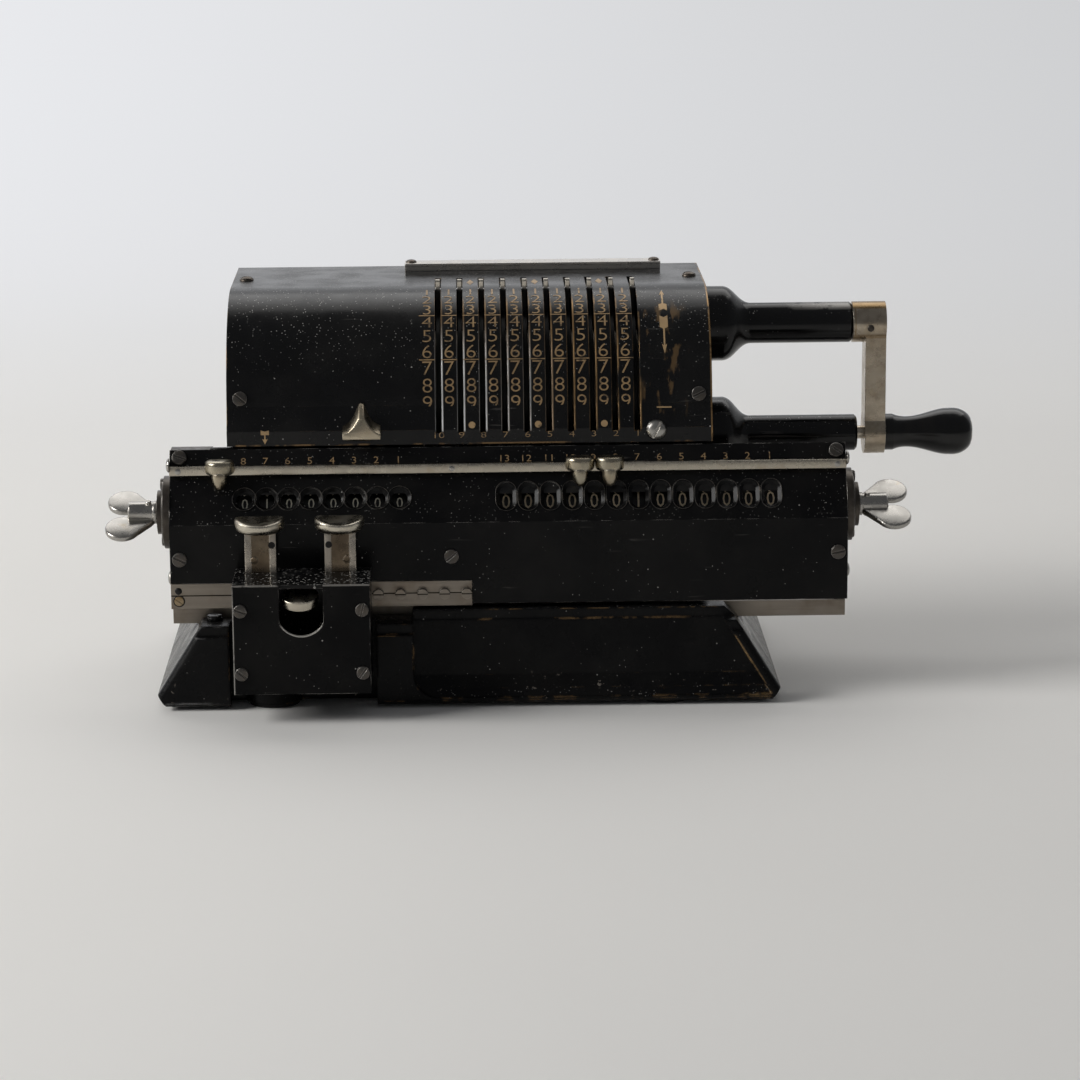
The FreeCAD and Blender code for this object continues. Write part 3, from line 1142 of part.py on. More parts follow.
def setting_lever(ring_bore):
    """A ring on the pinwheel's boss with a blade that stands out through the cover's slot."""
    half = LEVER_THICKNESS / 2
    ring = rod(-half, half, ROTOR_Y, ROTOR_Z, LEVER_RING_RADIUS)
    blade_top = LEVER_TIP_RADIUS - 4.0
    blade = box((-half, half), (ROTOR_Y - LEVER_BLADE_WIDTH / 2, ROTOR_Y + LEVER_BLADE_WIDTH / 2),
                (ROTOR_Z + ring_bore + 2, ROTOR_Z + blade_top))
    tip_half = LEVER_TIP_WIDTH / 2
    blade_half = LEVER_BLADE_WIDTH / 2
    z0 = ROTOR_Z + blade_top
    z1 = ROTOR_Z + LEVER_TIP_RADIUS
    tip = across([(ROTOR_Y - blade_half, z0), (ROTOR_Y + blade_half, z0), (ROTOR_Y + tip_half, z0 + 1.4),
                  (ROTOR_Y + tip_half, z1 - 0.7), (ROTOR_Y + tip_half - 0.6, z1 - 0.1), (ROTOR_Y, z1),
                  (ROTOR_Y - tip_half + 0.6, z1 - 0.1), (ROTOR_Y - tip_half, z1 - 0.7),
                  (ROTOR_Y - tip_half, z0 + 1.4)], -half, half)
    lever = fuse([ring, blade, tip]).cut(rod(-2, 2, ROTOR_Y, ROTOR_Z, ring_bore))
    return turn_x(lever, 90 - LEVER_ZERO_ANGLE, ROTOR_Y, ROTOR_Z)


def panel_screw_places():
    half = KEYBOX_WIDTH / 2 - PANEL_SCREW_INSET
    return [((KEYBOX_CENTRE + side * half, KEYBOX_FRONT, z), (0, -1, 0)) for side in (-1, 1)
            for z in (KEYBOX_TOP - PANEL_SCREW_TOP_DROP, KEYBOX_BOTTOM + PANEL_SCREW_RISE)]


def shift_key_xs():
    return (KEYS_CENTRE - SHIFT_KEY_SPREAD / 2, KEYS_CENTRE + SHIFT_KEY_SPREAD / 2)


def key_box():
    """A black box that stands out in front of the base, with slots for the key stems."""
    x0 = KEYBOX_CENTRE - KEYBOX_WIDTH / 2
    x1 = KEYBOX_CENTRE + KEYBOX_WIDTH / 2
    y0 = KEYBOX_FRONT + PANEL_THICKNESS
    outer = box((x0, x1), (y0, KEYBOX_BACK), (KEYBOX_BOTTOM, KEYBOX_TOP))
    pads = [box((x - PAD_WIDTH / 2, x + PAD_WIDTH / 2), (KEYBOX_BACK, KEY_BAY_BACK),
                (KEYBOX_BOTTOM, KEYBOX_BOTTOM + PAD_HEIGHT)) for x in (x0 + PAD_INSET, x1 - PAD_INSET)]
    inside = box((x0 + KEYBOX_WALL, x1 - KEYBOX_WALL), (y0 - 1, KEYBOX_BACK - KEYBOX_WALL),
                 (KEYBOX_BOTTOM + KEYBOX_WALL, KEYBOX_TOP - KEYBOX_WALL))
    posts = [box((x - POST_HALF, x + POST_HALF), (y0, y0 + 2 * POST_HALF), (z - POST_HALF, z + POST_HALF))
             for (x, y, z), out in panel_screw_places()]
    half = SHIFT_STEM_WIDTH / 2 + KEY_SLOT_GAP
    depth = SHIFT_STEM_THICKNESS / 2 + KEY_SLOT_GAP
    slot_y = (SHIFT_STEM_Y - depth, SHIFT_STEM_Y + depth)
    slots = [box((x - half, x + half), slot_y, (KEYBOX_TOP - 3, KEYBOX_TOP + 1)) for x in shift_key_xs()]
    body = fuse([outer] + pads).cut(inside)
    body = fuse([body] + posts)
    save("key_box", body.cut(slots + [shank_hole(*place) for place in panel_screw_places()]))


def key_box_panel():
    x0 = KEYBOX_CENTRE - KEYBOX_WIDTH / 2
    x1 = KEYBOX_CENTRE + KEYBOX_WIDTH / 2
    y = (KEYBOX_FRONT, KEYBOX_FRONT + PANEL_THICKNESS)
    half = PANEL_NOTCH_WIDTH / 2
    floor = KEYBOX_TOP - PANEL_NOTCH_STRAIGHT
    notch = box((KEYBOX_CENTRE - half, KEYBOX_CENTRE + half), (y[0] - 1, y[1] + 1), (floor, KEYBOX_TOP + 1))
    bowl_z = floor + math.sqrt(PANEL_NOTCH_RADIUS ** 2 - half ** 2)
    bowl_foot = V(KEYBOX_CENTRE, y[0] - 1, bowl_z)
    bowl = Part.makeCylinder(PANEL_NOTCH_RADIUS, PANEL_THICKNESS + 2, bowl_foot, V(0, 1, 0))
    notch_x = (KEYBOX_CENTRE - half, KEYBOX_CENTRE + half)
    bowl = bowl.common(box(notch_x, (y[0] - 1, y[1] + 1), (0, floor + 1)))
    panel = box((x0, x1), y, (KEYBOX_BOTTOM, KEYBOX_TOP))
    save("key_box_panel", panel.cut([notch, bowl] + [shank_hole(*place) for place in panel_screw_places()]))


def shift_keys():
    """Round dished caps on flat stems."""
    for name, x in zip(("left", "right"), shift_key_xs()):
        cap = upright(x, SHIFT_KEY_Y, SHIFT_CAP_TOP - SHIFT_CAP_THICKNESS, SHIFT_CAP_TOP, SHIFT_CAP_RADIUS)
        dish_z = SHIFT_CAP_TOP + SHIFT_DISH_RADIUS - SHIFT_DISH_DEPTH
        dish_foot = V(x, SHIFT_KEY_Y - 2 * SHIFT_CAP_RADIUS, dish_z)
        dish = Part.makeCylinder(SHIFT_DISH_RADIUS, 4 * SHIFT_CAP_RADIUS, dish_foot, V(0, 1, 0))
        half = SHIFT_STEM_WIDTH / 2
        depth = SHIFT_STEM_THICKNESS / 2
        stem = box((x - half, x + half), (SHIFT_STEM_Y - depth, SHIFT_STEM_Y + depth),
                   (SHIFT_STEM_BOTTOM, SHIFT_CAP_TOP - SHIFT_CAP_THICKNESS + 0.5))
        save(f"shift_key_{name}", fuse([cap.cut(dish), stem]))


def release_key():
    """A round cap in the panel's notch on a flat lever that runs back into the box."""
    x = KEYS_CENTRE + 0.2
    z0 = RELEASE_CAP_TOP - RELEASE_CAP_THICKNESS
    cap = upright(x, RELEASE_CAP_Y, z0, RELEASE_CAP_TOP, RELEASE_CAP_RADIUS)
    cap = turn_x(cap, RELEASE_CAP_TILT, RELEASE_CAP_Y, RELEASE_CAP_TOP)
    half = RELEASE_LEVER_WIDTH / 2
    lever = box((x - half, x + half), (RELEASE_CAP_Y, RELEASE_LEVER_BACK), (z0 + 0.4, RELEASE_CAP_TOP - 0.4))
    save("release_key", fuse([cap, lever]))


def base_plate():
    save("base_plate", base_plate_box(0.0, 0.0))


base_casting()
base_plate()
rubber_feet()
side_plate("left_side_plate", LEFT_PLATE_X)
side_plate("right_side_plate", RIGHT_PLATE_X)
rotor_bushes()
top_cover()
rear_cover()
front_apron()
setting_rail()
frame_screws()
zero_slide_knob()
crank_bearing()
crank_rest_post()
crank()
crank_grip()
rotor()
transfer_shaft()
transfer_gears()
carriage_guide()
carriage_rail()
carriage_face_plate()
carriage_ends()
carriage_screws()
marker_strip()
decimal_markers()
stop_rack()
registers()
key_box()
key_box_panel()
shift_keys()
release_key()
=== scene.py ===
"""Looks of a hand-cranked pinwheel calculator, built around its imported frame.

Lengths in this file are millimetres unless a name says otherwise. X runs to the right, Y away, Z up.
"""
import math

import bmesh
import bpy
from bpy.props import FloatProperty, FloatVectorProperty, PointerProperty
from mathutils import Matrix, Vector


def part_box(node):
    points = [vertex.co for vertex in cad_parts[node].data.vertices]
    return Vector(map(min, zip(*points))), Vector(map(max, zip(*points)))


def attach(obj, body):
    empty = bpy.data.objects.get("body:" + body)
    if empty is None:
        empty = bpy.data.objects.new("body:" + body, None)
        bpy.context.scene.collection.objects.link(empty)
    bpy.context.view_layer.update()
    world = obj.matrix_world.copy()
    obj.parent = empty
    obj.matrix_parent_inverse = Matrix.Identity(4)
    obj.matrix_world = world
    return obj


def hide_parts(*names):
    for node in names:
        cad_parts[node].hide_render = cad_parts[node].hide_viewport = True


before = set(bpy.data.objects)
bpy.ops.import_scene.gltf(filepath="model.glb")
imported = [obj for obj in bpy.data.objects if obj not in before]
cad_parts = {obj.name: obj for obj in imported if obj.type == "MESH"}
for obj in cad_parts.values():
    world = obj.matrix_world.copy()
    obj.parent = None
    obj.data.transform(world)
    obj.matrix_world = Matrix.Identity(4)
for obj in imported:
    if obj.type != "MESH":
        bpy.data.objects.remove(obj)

bl_info = {
    "name": "Pinwheel calculator",
    "version": (1, 0, 0),
    "blender": (4, 5, 0),
    "location": "View3D > Sidebar > Calculator",
    "description": "Dresses a pinwheel calculator with its finishes, numerals and turned parts",
    "category": "Add Mesh",
}

MM = 0.001


# Places read from the frame.
def span(node):
    low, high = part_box(node)
    return low / MM, high / MM


def middle(node):
    low, high = span(node)
    return (low + high) / 2


LEVER_COUNT = 10
RESULT_COUNT = 13
COUNTER_COUNT = 8
LEVER_XS = [middle(f"setting_lever_{number:02d}").x for number in range(1, LEVER_COUNT + 1)]
PITCH = LEVER_XS[0] - LEVER_XS[1]
LEVER_STEP = 9.0
LEVER_ZERO = 87.0
DIAL_DRUM_HALF = 2.6
RESULT_XS = [span("result_dials")[1].x - DIAL_DRUM_HALF - PITCH * i for i in range(RESULT_COUNT)]
COUNTER_XS = [span("counter_dials")[1].x - DIAL_DRUM_HALF - PITCH * i for i in range(COUNTER_COUNT)]
DIAL_Y = middle("result_shaft").y
DIAL_Z = middle("result_shaft").z
ROTOR_Y = middle("rotor_bushes").y

COVER_LOW, COVER_HIGH = span("top_cover")
COVER_FLARE = 3.2
COVER_RADIUS = ROTOR_Y - COVER_LOW.y - COVER_FLARE
COVER_ARC_Z = COVER_HIGH.z - COVER_RADIUS
COVER_SKIRT_TOP = COVER_LOW.z + 5.4
FACE_LOW, FACE_HIGH = span("carriage_face_plate")
CENTRE_X = middle("carriage_centre_bearing").x
STRIP_LOW, STRIP_HIGH = span("marker_strip")
SLOPE_TOP_Y = -36.6
SLOPE_FOOT = Vector((0, STRIP_HIGH.y, STRIP_HIGH.z + 0.3))
SLOPE_TOP = Vector((0, SLOPE_TOP_Y, FACE_HIGH.z))
RACK_LOW, RACK_HIGH = span("stop_rack")
SLEEVE_HIGH = span("crank_bearing")[1]
ARM_LOW, ARM_HIGH = span("crank_arm")
PANEL_LOW, PANEL_HIGH = span("key_box_panel")

# The plate with the windows faces this far forward and this far up.
FACE_RUN = 0.855
FACE_RISE = 0.519

RIGHT = (1, 0, 0)
BACK = (0, 1, 0)
FRONT = (0, -1, 0)
UP = (0, 0, 1)


# Sizes and colours that a user would change.
def length(name, description, value):
    return FloatProperty(name=name, description=description, default=value * MM, min=0.0, unit="LENGTH",
                         subtype="DISTANCE")


def colour(name, description, value):
    return FloatVectorProperty(name=name, description=description, default=value, size=3, min=0.0, max=1.0,
                               subtype="COLOR")


class CalculatorSizes(bpy.types.PropertyGroup):
    cover_digit: length("Cover digit", "Height of the setting digits on the cover", 5.1)
    slot_number: length("Slot number", "Height of the slot numbers on the skirt", 2.1)
    place_number: length("Place number", "Height of the place numbers above the strip", 2.5)
    counter_digit: length("Counter digit", "Height of the digits on the counter dials", 4.2)
    result_digit: length("Result digit", "Height of the digits on the result dials", 5.4)
    dial_radius: length("Dial radius", "Radius of the dials that carry the digits", 8.5)
    paint: length("Paint", "Thickness of painted marks", 0.05)
    wing_thickness: length("Wing thickness", "Thickness of the wing nuts' paddles", 2.3)


class CalculatorColours(bpy.types.PropertyGroup):
    enamel: colour("Enamel", "Black stoving enamel of the sheet parts", (0.0042, 0.0042, 0.0045))
    enamel_haze: colour("Enamel haze", "Dull, hazed enamel", (0.0085, 0.0082, 0.0080))
    dust: colour("Dust", "Dust specks on the enamel", (0.42, 0.41, 0.39))
    worn_brass: colour("Worn edge", "Primer and brass that show at rubbed edges", (0.30, 0.185, 0.085))
    bare_steel: colour("Bare steel", "Bright metal at rubbed edges", (0.46, 0.44, 0.41))
    nickel: colour("Nickel", "Warm nickel plate", (0.56, 0.50, 0.42))
    nickel_stain: colour("Nickel stain", "Tarnish on the nickel", (0.36, 0.29, 0.20))
    steel: colour("Steel", "Dull machined steel", (0.25, 0.22, 0.185))
    steel_stain: colour("Steel stain", "Brown stains on the steel", (0.15, 0.11, 0.075))
    dark_steel: colour("Dark steel", "Blackened screws and end fittings", (0.035, 0.032, 0.030))
    brass: colour("Brass", "Brass gears", (0.52, 0.37, 0.16))
    rubber: colour("Rubber", "Black rubber feet", (0.010, 0.010, 0.010))
    lacquer: colour("Lacquer", "Black lacquered grip", (0.003, 0.003, 0.003))
    gold_paint: colour("Gold paint", "Numerals and arrows on the cover", (0.36, 0.24, 0.125))
    ivory_paint: colour("Ivory paint", "Digits of the counter dials", (0.95, 0.90, 0.74))
    tan_paint: colour("Tan paint", "Digits of the result dials", (0.80, 0.66, 0.46))
    floor: colour("Floor", "Pale floor", (0.85, 0.84, 0.82))
    backdrop_left: colour("Backdrop left", "Backdrop behind the left half", (0.86, 0.87, 0.90))
    # painted shade: the right half of the backdrop is darker than the left
    backdrop_right: colour("Backdrop right", "Backdrop behind the right half", (0.60, 0.605, 0.615))


def sizes():
    return bpy.context.scene.calculator_sizes


def colours():
    return bpy.context.scene.calculator_colours


def in_mm(value):
    return value / MM


# Finishes.
SCRATCH_GREY = (0.06, 0.056, 0.052)
# silver of the worn slot lips, also a painted highlight on their right lips
SILVER_LIP_AND_HIGHLIGHT = (0.62, 0.62, 0.61)
# painted highlight on the casting's left front corner
CORNER_HIGHLIGHT = (0.62, 0.62, 0.62)
CORNER_BRASS = (0.42, 0.27, 0.12)
CAST_CHIP = (0.17, 0.15, 0.13)
RUBBED_NICKEL = (0.78, 0.73, 0.64)
# brown of worn plating, also used as painted shade low on the crank's hub
BROWN_WEAR_AND_SHADE = (0.24, 0.15, 0.06)
RUBBED_STEEL = (0.55, 0.52, 0.47)
GROOVE_BLACK = (0.012, 0.010, 0.008)


class Finish:
    """A Principled finish under construction, with helpers for its patterns.

    Pattern lengths are in millimetres.
    """

    def __init__(self, name, metallic=0.0, specular=0.5):
        self.material = bpy.data.materials.new(name)
        self.material.use_nodes = True
        self.nodes = self.material.node_tree.nodes
        self.links = self.material.node_tree.links
        self.nodes.clear()
        self.output = self.add("ShaderNodeOutputMaterial")
        self.skin = self.add("ShaderNodeBsdfPrincipled")
        self.links.new(self.skin.outputs["BSDF"], self.output.inputs["Surface"])
        self.put(metallic, self.skin.inputs["Metallic"])
        self.put(specular, self.skin.inputs["Specular IOR Level"])
        self.place = self.add("ShaderNodeTexCoord").outputs["Object"]
        split = self.add("ShaderNodeSeparateXYZ")
        self.links.new(self.place, split.inputs[0])
        self.x, self.y, self.z = split.outputs
        self.normal = None

    def add(self, kind, **settings):
        node = self.nodes.new(kind)
        for key, value in settings.items():
            setattr(node, key, value)
        return node

    def put(self, value, socket):
        """Link a socket, or set a plain number or colour."""
        if isinstance(value, bpy.types.NodeSocket):
            self.links.new(value, socket)
        elif socket.type == "RGBA":
            socket.default_value = (*value[:3], 1.0)
        else:
            socket.default_value = value

    def math(self, operation, first, second=0.0, clamp=False):
        node = self.add("ShaderNodeMath", operation=operation, use_clamp=clamp)
        self.put(first, node.inputs[0])
        self.put(second, node.inputs[1])
        return node.outputs[0]

    def product(self, *factors):
        result = factors[0]
        for factor in factors[1:]:
            result = self.math("MULTIPLY", result, factor)
        return result

    def most(self, *masks):
        result = masks[0]
        for mask in masks[1:]:
            result = self.math("MAXIMUM", result, mask)
        return result

    def ramp(self, value, start, end, low=0.0, high=1.0):
        """Low at start, high at end, smooth between and level outside."""
        node = self.add("ShaderNodeMapRange", interpolation_type="SMOOTHSTEP")
        self.put(value, node.inputs["Value"])
        self.put(start, node.inputs["From Min"])
        self.put(end, node.inputs["From Max"])
        self.put(low, node.inputs["To Min"])
        self.put(high, node.inputs["To Max"])
        return node.outputs[0]

    def above(self, value, edge_mm, blur_mm=0.2):
        return self.ramp(value, (edge_mm - blur_mm / 2) * MM, (edge_mm + blur_mm / 2) * MM)

    def below(self, value, edge_mm, blur_mm=0.2):
        return self.ramp(value, (edge_mm - blur_mm / 2) * MM, (edge_mm + blur_mm / 2) * MM, 1.0, 0.0)

    def between(self, value, low_mm, high_mm, low_blur=0.2, high_blur=0.2):
        return self.product(self.above(value, low_mm, low_blur), self.below(value, high_mm, high_blur))

    def distance(self, first, first_mm, second, second_mm):
        """How far a point lies from a line, given by its places on the two axes across it."""
        first = self.math("SUBTRACT", first, first_mm * MM)
        second = self.math("SUBTRACT", second, second_mm * MM)
        return self.math("SQRT", self.math("ADD", self.product(first, first), self.product(second, second)))

    def stretched(self, stretch):
        node = self.add("ShaderNodeMapping")
        self.links.new(self.place, node.inputs["Vector"])
        node.inputs["Scale"].default_value = stretch
        return node.outputs[0]

    def noise(self, grain_mm, detail=3.0, stretch=(1.0, 1.0, 1.0), roughness=0.55):
        node = self.add("ShaderNodeTexNoise")
        self.put(self.stretched(stretch), node.inputs["Vector"])
        node.inputs["Scale"].default_value = 1.0 / (grain_mm * MM)
        node.inputs["Detail"].default_value = detail
        node.inputs["Roughness"].default_value = roughness
        return node.outputs["Fac"]

    def specks(self, cell_mm, radius):
        """Round dots, one in a cell, at a radius that is a share of the cell."""
        node = self.add("ShaderNodeTexVoronoi")
        self.put(self.place, node.inputs["Vector"])
        node.inputs["Scale"].default_value = 1.0 / (cell_mm * MM)
        return self.ramp(node.outputs["Distance"], radius * 0.7, radius, 1.0, 0.0)

    def mix(self, factor, first, second):
        node = self.add("ShaderNodeMix", data_type="RGBA")
        self.put(factor, node.inputs[0])
        self.put(first, node.inputs[6])
        self.put(second, node.inputs[7])
        return node.outputs[2]

    def upward(self, start=0.3, end=0.9):
        split = self.add("ShaderNodeSeparateXYZ")
        self.links.new(self.add("ShaderNodeNewGeometry").outputs["Normal"], split.inputs[0])
        return self.ramp(split.outputs["Z"], start, end)

    def rounded(self, radius_mm):
        """Normals that round the sharp edges, and a mask of those edges."""
        bevel = self.add("ShaderNodeBevel", samples=4)
        bevel.inputs["Radius"].default_value = radius_mm * MM
        self.normal = bevel.outputs["Normal"]
        dot = self.add("ShaderNodeVectorMath", operation="DOT_PRODUCT")
        self.links.new(bevel.outputs["Normal"], dot.inputs[0])
        self.links.new(self.add("ShaderNodeNewGeometry").outputs["True Normal"], dot.inputs[1])
        return self.ramp(dot.outputs["Value"], 0.995, 0.9)

    def bump(self, height, depth_mm, strength=1.0):
        node = self.add("ShaderNodeBump")
        node.inputs["Strength"].default_value = strength
        node.inputs["Distance"].default_value = depth_mm * MM
        self.put(height, node.inputs["Height"])
        if self.normal is not None:
            self.links.new(self.normal, node.inputs["Normal"])
        self.normal = node.outputs["Normal"]

    def done(self, base, roughness, metallic=None):
        self.put(base, self.skin.inputs["Base Color"])
        self.put(roughness, self.skin.inputs["Roughness"])
        if metallic is not None:
            self.put(metallic, self.skin.inputs["Metallic"])
        if self.normal is not None:
            self.links.new(self.normal, self.skin.inputs["Normal"])
        return self.material


def enamel_base(finish, dusty=1.0):
    """Enamel colour with haze, streaks of handling and fine dust."""
    haze = finish.ramp(finish.noise(22.0, 4.0), 0.38, 0.7)
    base = finish.mix(haze, colours().enamel, colours().enamel_haze)
    clusters = finish.ramp(finish.noise(16.0, 2.0), 0.42, 0.62)
    fine = finish.product(finish.specks(2.3, 0.085 * dusty), clusters)
    coarse = finish.specks(6.5, 0.045 * dusty)
    settled = finish.ramp(finish.noise(9.0), 0.38, 0.52)
    laid = finish.product(finish.specks(1.4, 0.16 * dusty), finish.upward(), settled)
    return finish.mix(finish.product(finish.most(fine, coarse, laid), 0.75), base, colours().dust)


def enamel_scratches(finish):
    lines = finish.noise(2.2, 2.0, (0.1, 1.0, 1.8), 0.4)
    return finish.product(finish.ramp(lines, 0.69, 0.73), finish.ramp(finish.noise(30.0), 0.52, 0.62), 0.6)


def scratched_enamel(finish, dusty):
    return finish.mix(enamel_scratches(finish), enamel_base(finish, dusty), SCRATCH_GREY)


def enamel_skin(finish):
    """The slight unevenness of stoved enamel."""
    finish.bump(finish.noise(1.6, 2.0), 0.008)
    finish.bump(finish.noise(26.0, 1.0), 0.07)


def worn_edges(finish, radius_mm, share):
    """Edges rubbed through to brass or bright metal, patchy along their length."""
    edge = finish.rounded(radius_mm)
    patches = finish.ramp(finish.noise(7.0, 5.0), 0.62 - share * 0.3, 0.68 - share * 0.12)
    return finish.product(edge, patches)


def enamel(name="black_enamel", wear=0.35, worn=None, roughness=0.26, radius=0.35, extra=None, shine=0.14,
           dusty=1.0):
    """Glossy black enamel. Extra is a function that returns one more mask in the worn colour: wear, and at
    the panel's notch also a painted highlight.
    """
    finish = Finish(name, specular=shine)
    edge = worn_edges(finish, radius, wear)
    if extra is not None:
        edge = finish.most(edge, extra(finish))
    base = finish.mix(edge, scratched_enamel(finish, dusty), worn or colours().worn_brass)
    gloss = finish.ramp(finish.noise(14.0, 4.0), 0.3, 0.75, roughness - 0.06, roughness + 0.1)
    rough = finish.math("ADD", gloss, finish.product(edge, 0.12))
    enamel_skin(finish)
    return finish.done(base, rough, finish.product(edge, 0.7))


def cover_enamel():
    """The cover's enamel: worn silver lips along the left slots, brass ones at the right, a worn hem and end;
    the right lips are painted strong as a painted highlight.
    """
    finish = Finish("cover_enamel", specular=0.24)
    edge = worn_edges(finish, 0.35, 0.5)
    hem = finish.product(finish.below(finish.z, COVER_LOW.z + 0.6, 0.3),
                         finish.ramp(finish.noise(14.0, 4.0), 0.47, 0.56), 0.6)
    end = finish.product(finish.above(finish.x, COVER_HIGH.x - 0.55, 0.3),
                         finish.ramp(finish.noise(9.0, 4.0), 0.36, 0.5))
    brass_worn = finish.most(edge, hem, end, right_patches(finish), slot_lips(finish, silver=False))
    # worn slot lips, with a painted highlight on the right lips
    silver_lips_and_highlight = slot_lips(finish, silver=True)
    base = finish.mix(brass_worn, scratched_enamel(finish, 1.1), colours().worn_brass)
    base = finish.mix(silver_lips_and_highlight, base, SILVER_LIP_AND_HIGHLIGHT)
    gloss = finish.ramp(finish.noise(14.0, 4.0), 0.3, 0.75, 0.17, 0.31)
    enamel_skin(finish)
    worn = finish.most(brass_worn, silver_lips_and_highlight)
    rough = finish.math("ADD", gloss, finish.product(worn, 0.1))
    return finish.done(base, rough, finish.product(brass_worn, 0.75))


SLOT_HALF = 1.02
RIGHT_LIP_EDGE = 1.62
LEFT_LIP_EDGE = 1.3
LIPS_FOOT_Z = 95.6
LIPS_TOP_Z = 139.0
LIPS_BACK_Y = 42.0
PITCHES_BEFORE = 100


def slot_lips(finish, silver):
    """Rubbed lines down the lips of the setting slots, painted strong on the right lip as a painted highlight
    from the light on the left, and faint on the left one.

    The first slot's place is counted from many pitches to its left, so that the remainder stays positive.
    """
    offset = (LEVER_XS[0] - PITCHES_BEFORE * PITCH - PITCH / 2) * MM
    remainder = finish.math("MODULO", finish.math("SUBTRACT", finish.x, offset), PITCH * MM)
    across = finish.math("SUBTRACT", remainder, PITCH / 2 * MM)
    # painted highlight: the right lip, which faces the light, is painted at full strength and the left lip
    # only faintly
    right = finish.between(across, SLOT_HALF, RIGHT_LIP_EDGE, 0.05, 0.25)
    left = finish.product(finish.between(across, -LEFT_LIP_EDGE, -SLOT_HALF, 0.15, 0.05), 0.35)
    reach = finish.product(finish.between(finish.x, LEVER_XS[-1] - 2, LEVER_XS[0] + 2, 0.4, 0.4),
                           finish.below(finish.y, LIPS_BACK_Y, 1.0))
    height = finish.between(finish.z, LIPS_FOOT_Z, LIPS_TOP_Z, 1.0, 3.0)
    side = finish.ramp(finish.x, 2 * MM, 40 * MM)
    if silver:
        low = finish.below(finish.z, 126.0, 18.0)
        tone = finish.product(finish.math("SUBTRACT", 1.0, side), low)
        patchy = finish.ramp(finish.noise(6.0, 4.0, (1.0, 0.3, 0.3)), 0.25, 0.42)
    else:
        tone = finish.ramp(finish.x, -20 * MM, 44 * MM, 0.3, 1.0)
        patchy = finish.ramp(finish.noise(9.0, 4.0, (1.0, 0.4, 0.4)), 0.38, 0.52)
    return finish.product(finish.most(right, left), reach, height, tone, patchy)


PATCHES_END_X = 79.0
PATCHES_LOW_Z = 101.0
PATCHES_HIGH_Z = 137.0


def right_patches(finish):
    """Rubbed patches right of the first slot."""
    near = finish.between(finish.x, LEVER_XS[0] + 2.0, PATCHES_END_X, 3.0, 6.0)
    band = finish.between(finish.z, PATCHES_LOW_Z, PATCHES_HIGH_Z, 4.0, 5.0)
    smears = finish.ramp(finish.noise(5.5, 5.0, (1.5, 0.5, 0.5)), 0.56, 0.64)
    return finish.product(near, band, smears, 0.34)


NOTCH_STRAIGHT = 13.4
NOTCH_RADIUS = 8.6
NOTCH_HALF = 7.8


def notch_wear(finish):
    """The bright lower lip of the panel's notch, a painted highlight, and the panel's rubbed left and top
    edges.
    """
    centre_x = (PANEL_LOW.x + PANEL_HIGH.x) / 2
    centre_z = PANEL_HIGH.z - NOTCH_STRAIGHT + math.sqrt(NOTCH_RADIUS ** 2 - NOTCH_HALF ** 2)
    reach = finish.distance(finish.x, centre_x, finish.z, centre_z)
    ring = finish.between(reach, NOTCH_RADIUS - 0.2, NOTCH_RADIUS + 0.4, 0.1, 0.3)
    # painted highlight: a bright crescent along the notch's lower lip
    lip = finish.product(ring, finish.below(finish.z, centre_z - 5.0, 2.0))
    patchy = finish.ramp(finish.noise(9.0, 4.0), 0.38, 0.5)
    left = finish.below(finish.x, PANEL_LOW.x + 0.35, 0.25)
    top = finish.product(finish.above(finish.z, PANEL_HIGH.z - 0.3, 0.25), 0.6)
    return finish.most(lip, finish.product(finish.most(left, top), patchy, 0.8))


def hub_top(finish):
    """Plating worn through to brass on top of the crank's hub, a painted shade band below it and one turned
    line.
    """
    top = ARM_HIGH.z
    across = finish.math("SUBTRACT", finish.x, (ARM_LOW.x + 0.9) * MM)
    line = finish.below(finish.math("ABSOLUTE", across), 0.18, 0.1)
    groove = finish.product(finish.above(finish.z, top - 12.0, 0.3), line)
    high = finish.above(finish.z, top - 1.9, 0.5)
    # painted shade: a dark brown band low on the hub
    low = finish.between(finish.z, top - 13.2, top - 11.6, 0.5, 0.5)
    return finish.most(finish.product(high, 0.85), finish.product(low, 0.55), finish.product(groove, 0.8))


def sleeve_wear(finish):
    """Bare metal along the top of the crank's sleeve, towards its hub."""
    near_hub = finish.ramp(finish.x, (SLEEVE_HIGH.x - 36.0) * MM, (SLEEVE_HIGH.x - 4.0) * MM)
    high = finish.above(finish.z, SLEEVE_HIGH.z - 8.2, 1.2)
    uneven = finish.ramp(finish.math("ADD", finish.noise(8.0, 4.0), finish.product(near_hub, 0.3)), 0.62, 0.7)
    return finish.product(near_hub, high, uneven, 0.5)


CAST_CORNER_X = 90.0
CAST_LEFT_HIGHLIGHT_Z = 29.0
CAST_RIGHT_WORN_Z = 24.0
CAST_CHIPS_Z = 9.0


